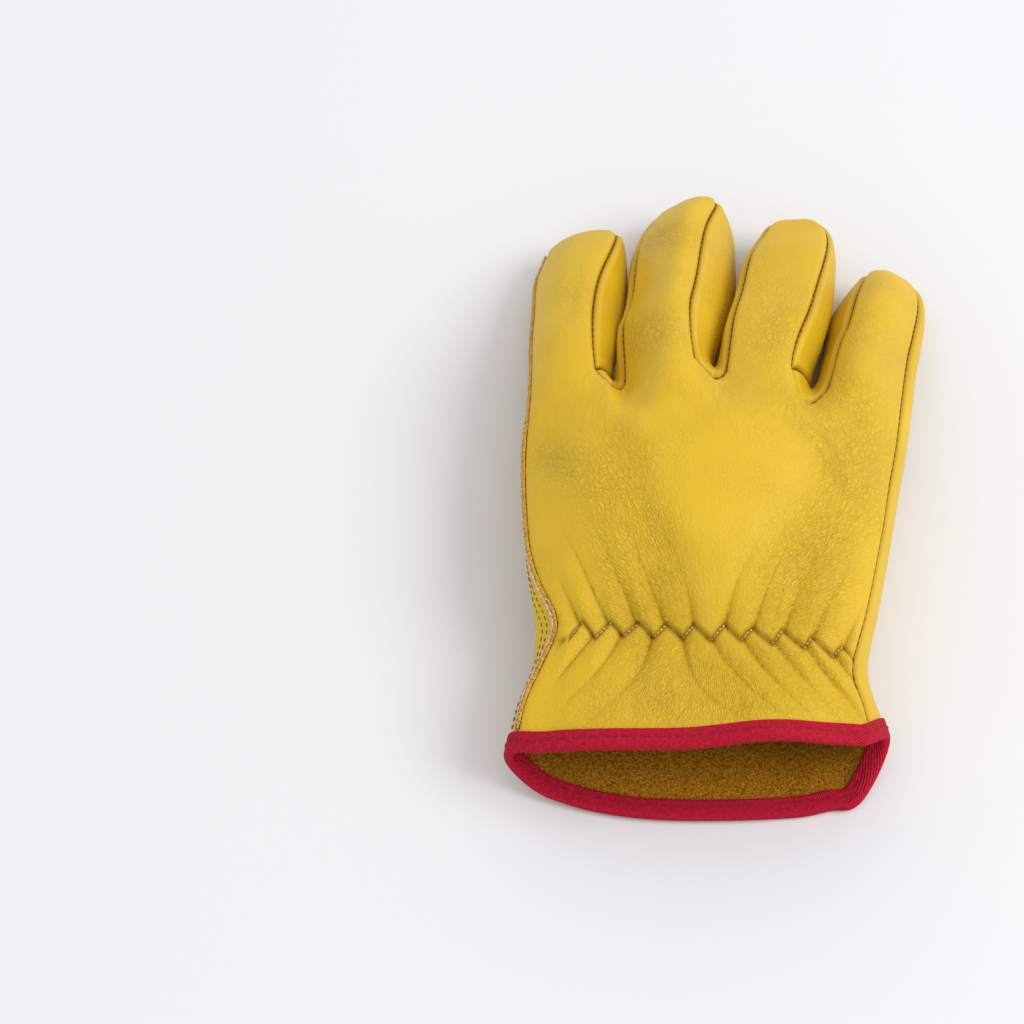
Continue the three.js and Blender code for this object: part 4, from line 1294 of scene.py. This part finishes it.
# Elastic row
# The elastic is sewn on with a cream zigzag stitch. Its thread shows on the rising strokes; the falling ones
# are lost in the folds.
ZIGZAG_STITCH = {"pitch": 1.35, "length": 1.15, "thick": 0.42, "rise": 0.12}
STROKE = np.linspace(0.08, 1, 9)  # shares of the way up a stroke where its height is taken
CROTCH_STITCHES = {  # across the seam under the last crotch, where it is sewn on twice
    "places": [(85.7, 10.7, 48.1), (88.6, 14.4, 41.6), (90.8, 14.1, 41), (93.7, 18.9, 38.4)],
    "length": 1.9, "thick": 0.4, "sink": 0.25, "onto_back": 0.3,
}
ABOVE_GLOVE = 0.1  # metres
back_ways = inward(fine_places, fine_normals, one_sided(fine_quads[fine_cuts == CUTS.index("back")]))
back_surface = BVHTree.FromPolygons(
    [vertex.co for vertex in back_piece.data.vertices],
    [face.vertices[:] for face in back_piece.data.polygons if face.material_index == GRAIN_SIDE])


def on_back(x, y, rise):
    """A place on the grain side of the back piece, straight above x and y."""
    above = Vector(((x - CENTRE[0]) * MM, (y - CENTRE[1]) * MM, ABOVE_GLOVE))
    place, normal, _, _ = back_surface.ray_cast(above, Vector((0, 0, -1)))
    return np.array(place / MM + normal * rise) + (*CENTRE, 0)


build = bmesh.new()
for (x0, y0), (x1, y1) in zip(ZIGZAG[:-1:2], ZIGZAG[1::2]):
    stroke = np.array([on_back(mix(x0, x1, t), mix(y0, y1, t), ZIGZAG_STITCH["rise"]) for t in STROKE])
    sew_line(build, stroke, ZIGZAG_STITCH)
for place in CROTCH_STITCHES["places"]:
    v = seam_vertices[seam_tree.find(place)[1]]
    way = back_ways[v]
    middle = fine_places[v] - fine_normals[v] * CROTCH_STITCHES["sink"] + way * CROTCH_STITCHES["onto_back"]
    stitch(build, middle, way, CROTCH_STITCHES["length"], CROTCH_STITCHES["thick"])
finish_thread("elastic_stitches", build, CREAM_THREAD)

# Binding stitches
# One row of red thread is sewn through the tape and the leather, halfway across the tape. It shows outside
# and inside the cuff.
TAPE_STITCH = {"pitch": 4.9, "length": 3.4, "thick": 0.42}
TAPE_ROWS = ((0.94, -2.4), (-2.14, -2.4))  # outside and inside: across the leather, along it
build = bmesh.new()
for across, along in TAPE_ROWS:
    row = cuff_row(across, along)
    sew_line(build, np.array(row + row[:1]), TAPE_STITCH)
finish_thread("tape_stitches", build, RED_THREAD)

# Floor and light
# The glove lies on a pale matt sheet, under a broad soft lamp high on the right, with white light all round.
FLOOR_SIZE = 3.0
FLOOR_COLOUR = paint(224, 224, 226)
KEY_LAMP = {"place": (1.6, -0.2, 1.7), "size": 1.2, "watts": 27}
LIGHT_ROUND = 0.91
build = bmesh.new()
bmesh.ops.create_grid(build, x_segments=1, y_segments=1, size=FLOOR_SIZE)
floor_mesh = bpy.data.meshes.new("floor")
build.to_mesh(floor_mesh)
build.free()
floor = bpy.data.objects.new("floor", floor_mesh)
bpy.context.collection.objects.link(floor)
floor_material, _, floor_shader = new_material("pale_floor", 0.9, 0.1)
floor_shader.inputs["Base Color"].default_value = FLOOR_COLOUR
floor_mesh.materials.append(floor_material)

lamp_data = bpy.data.lights.new("key_lamp", "AREA")
lamp_data.shape = "SQUARE"
lamp_data.size = KEY_LAMP["size"]
lamp_data.energy = KEY_LAMP["watts"]
lamp = bpy.data.objects.new("key_lamp", lamp_data)
lamp.location = KEY_LAMP["place"]
lamp.rotation_euler = (-Vector(KEY_LAMP["place"])).to_track_quat("-Z", "Y").to_euler()
bpy.context.collection.objects.link(lamp)
world = bpy.data.worlds.new("studio")
world.use_nodes = True
background = world.node_tree.nodes["Background"]
background.inputs["Color"].default_value = WHITE
background.inputs["Strength"].default_value = LIGHT_ROUND
bpy.context.scene.world = world
bpy.context.scene.view_settings.view_transform = "Standard"
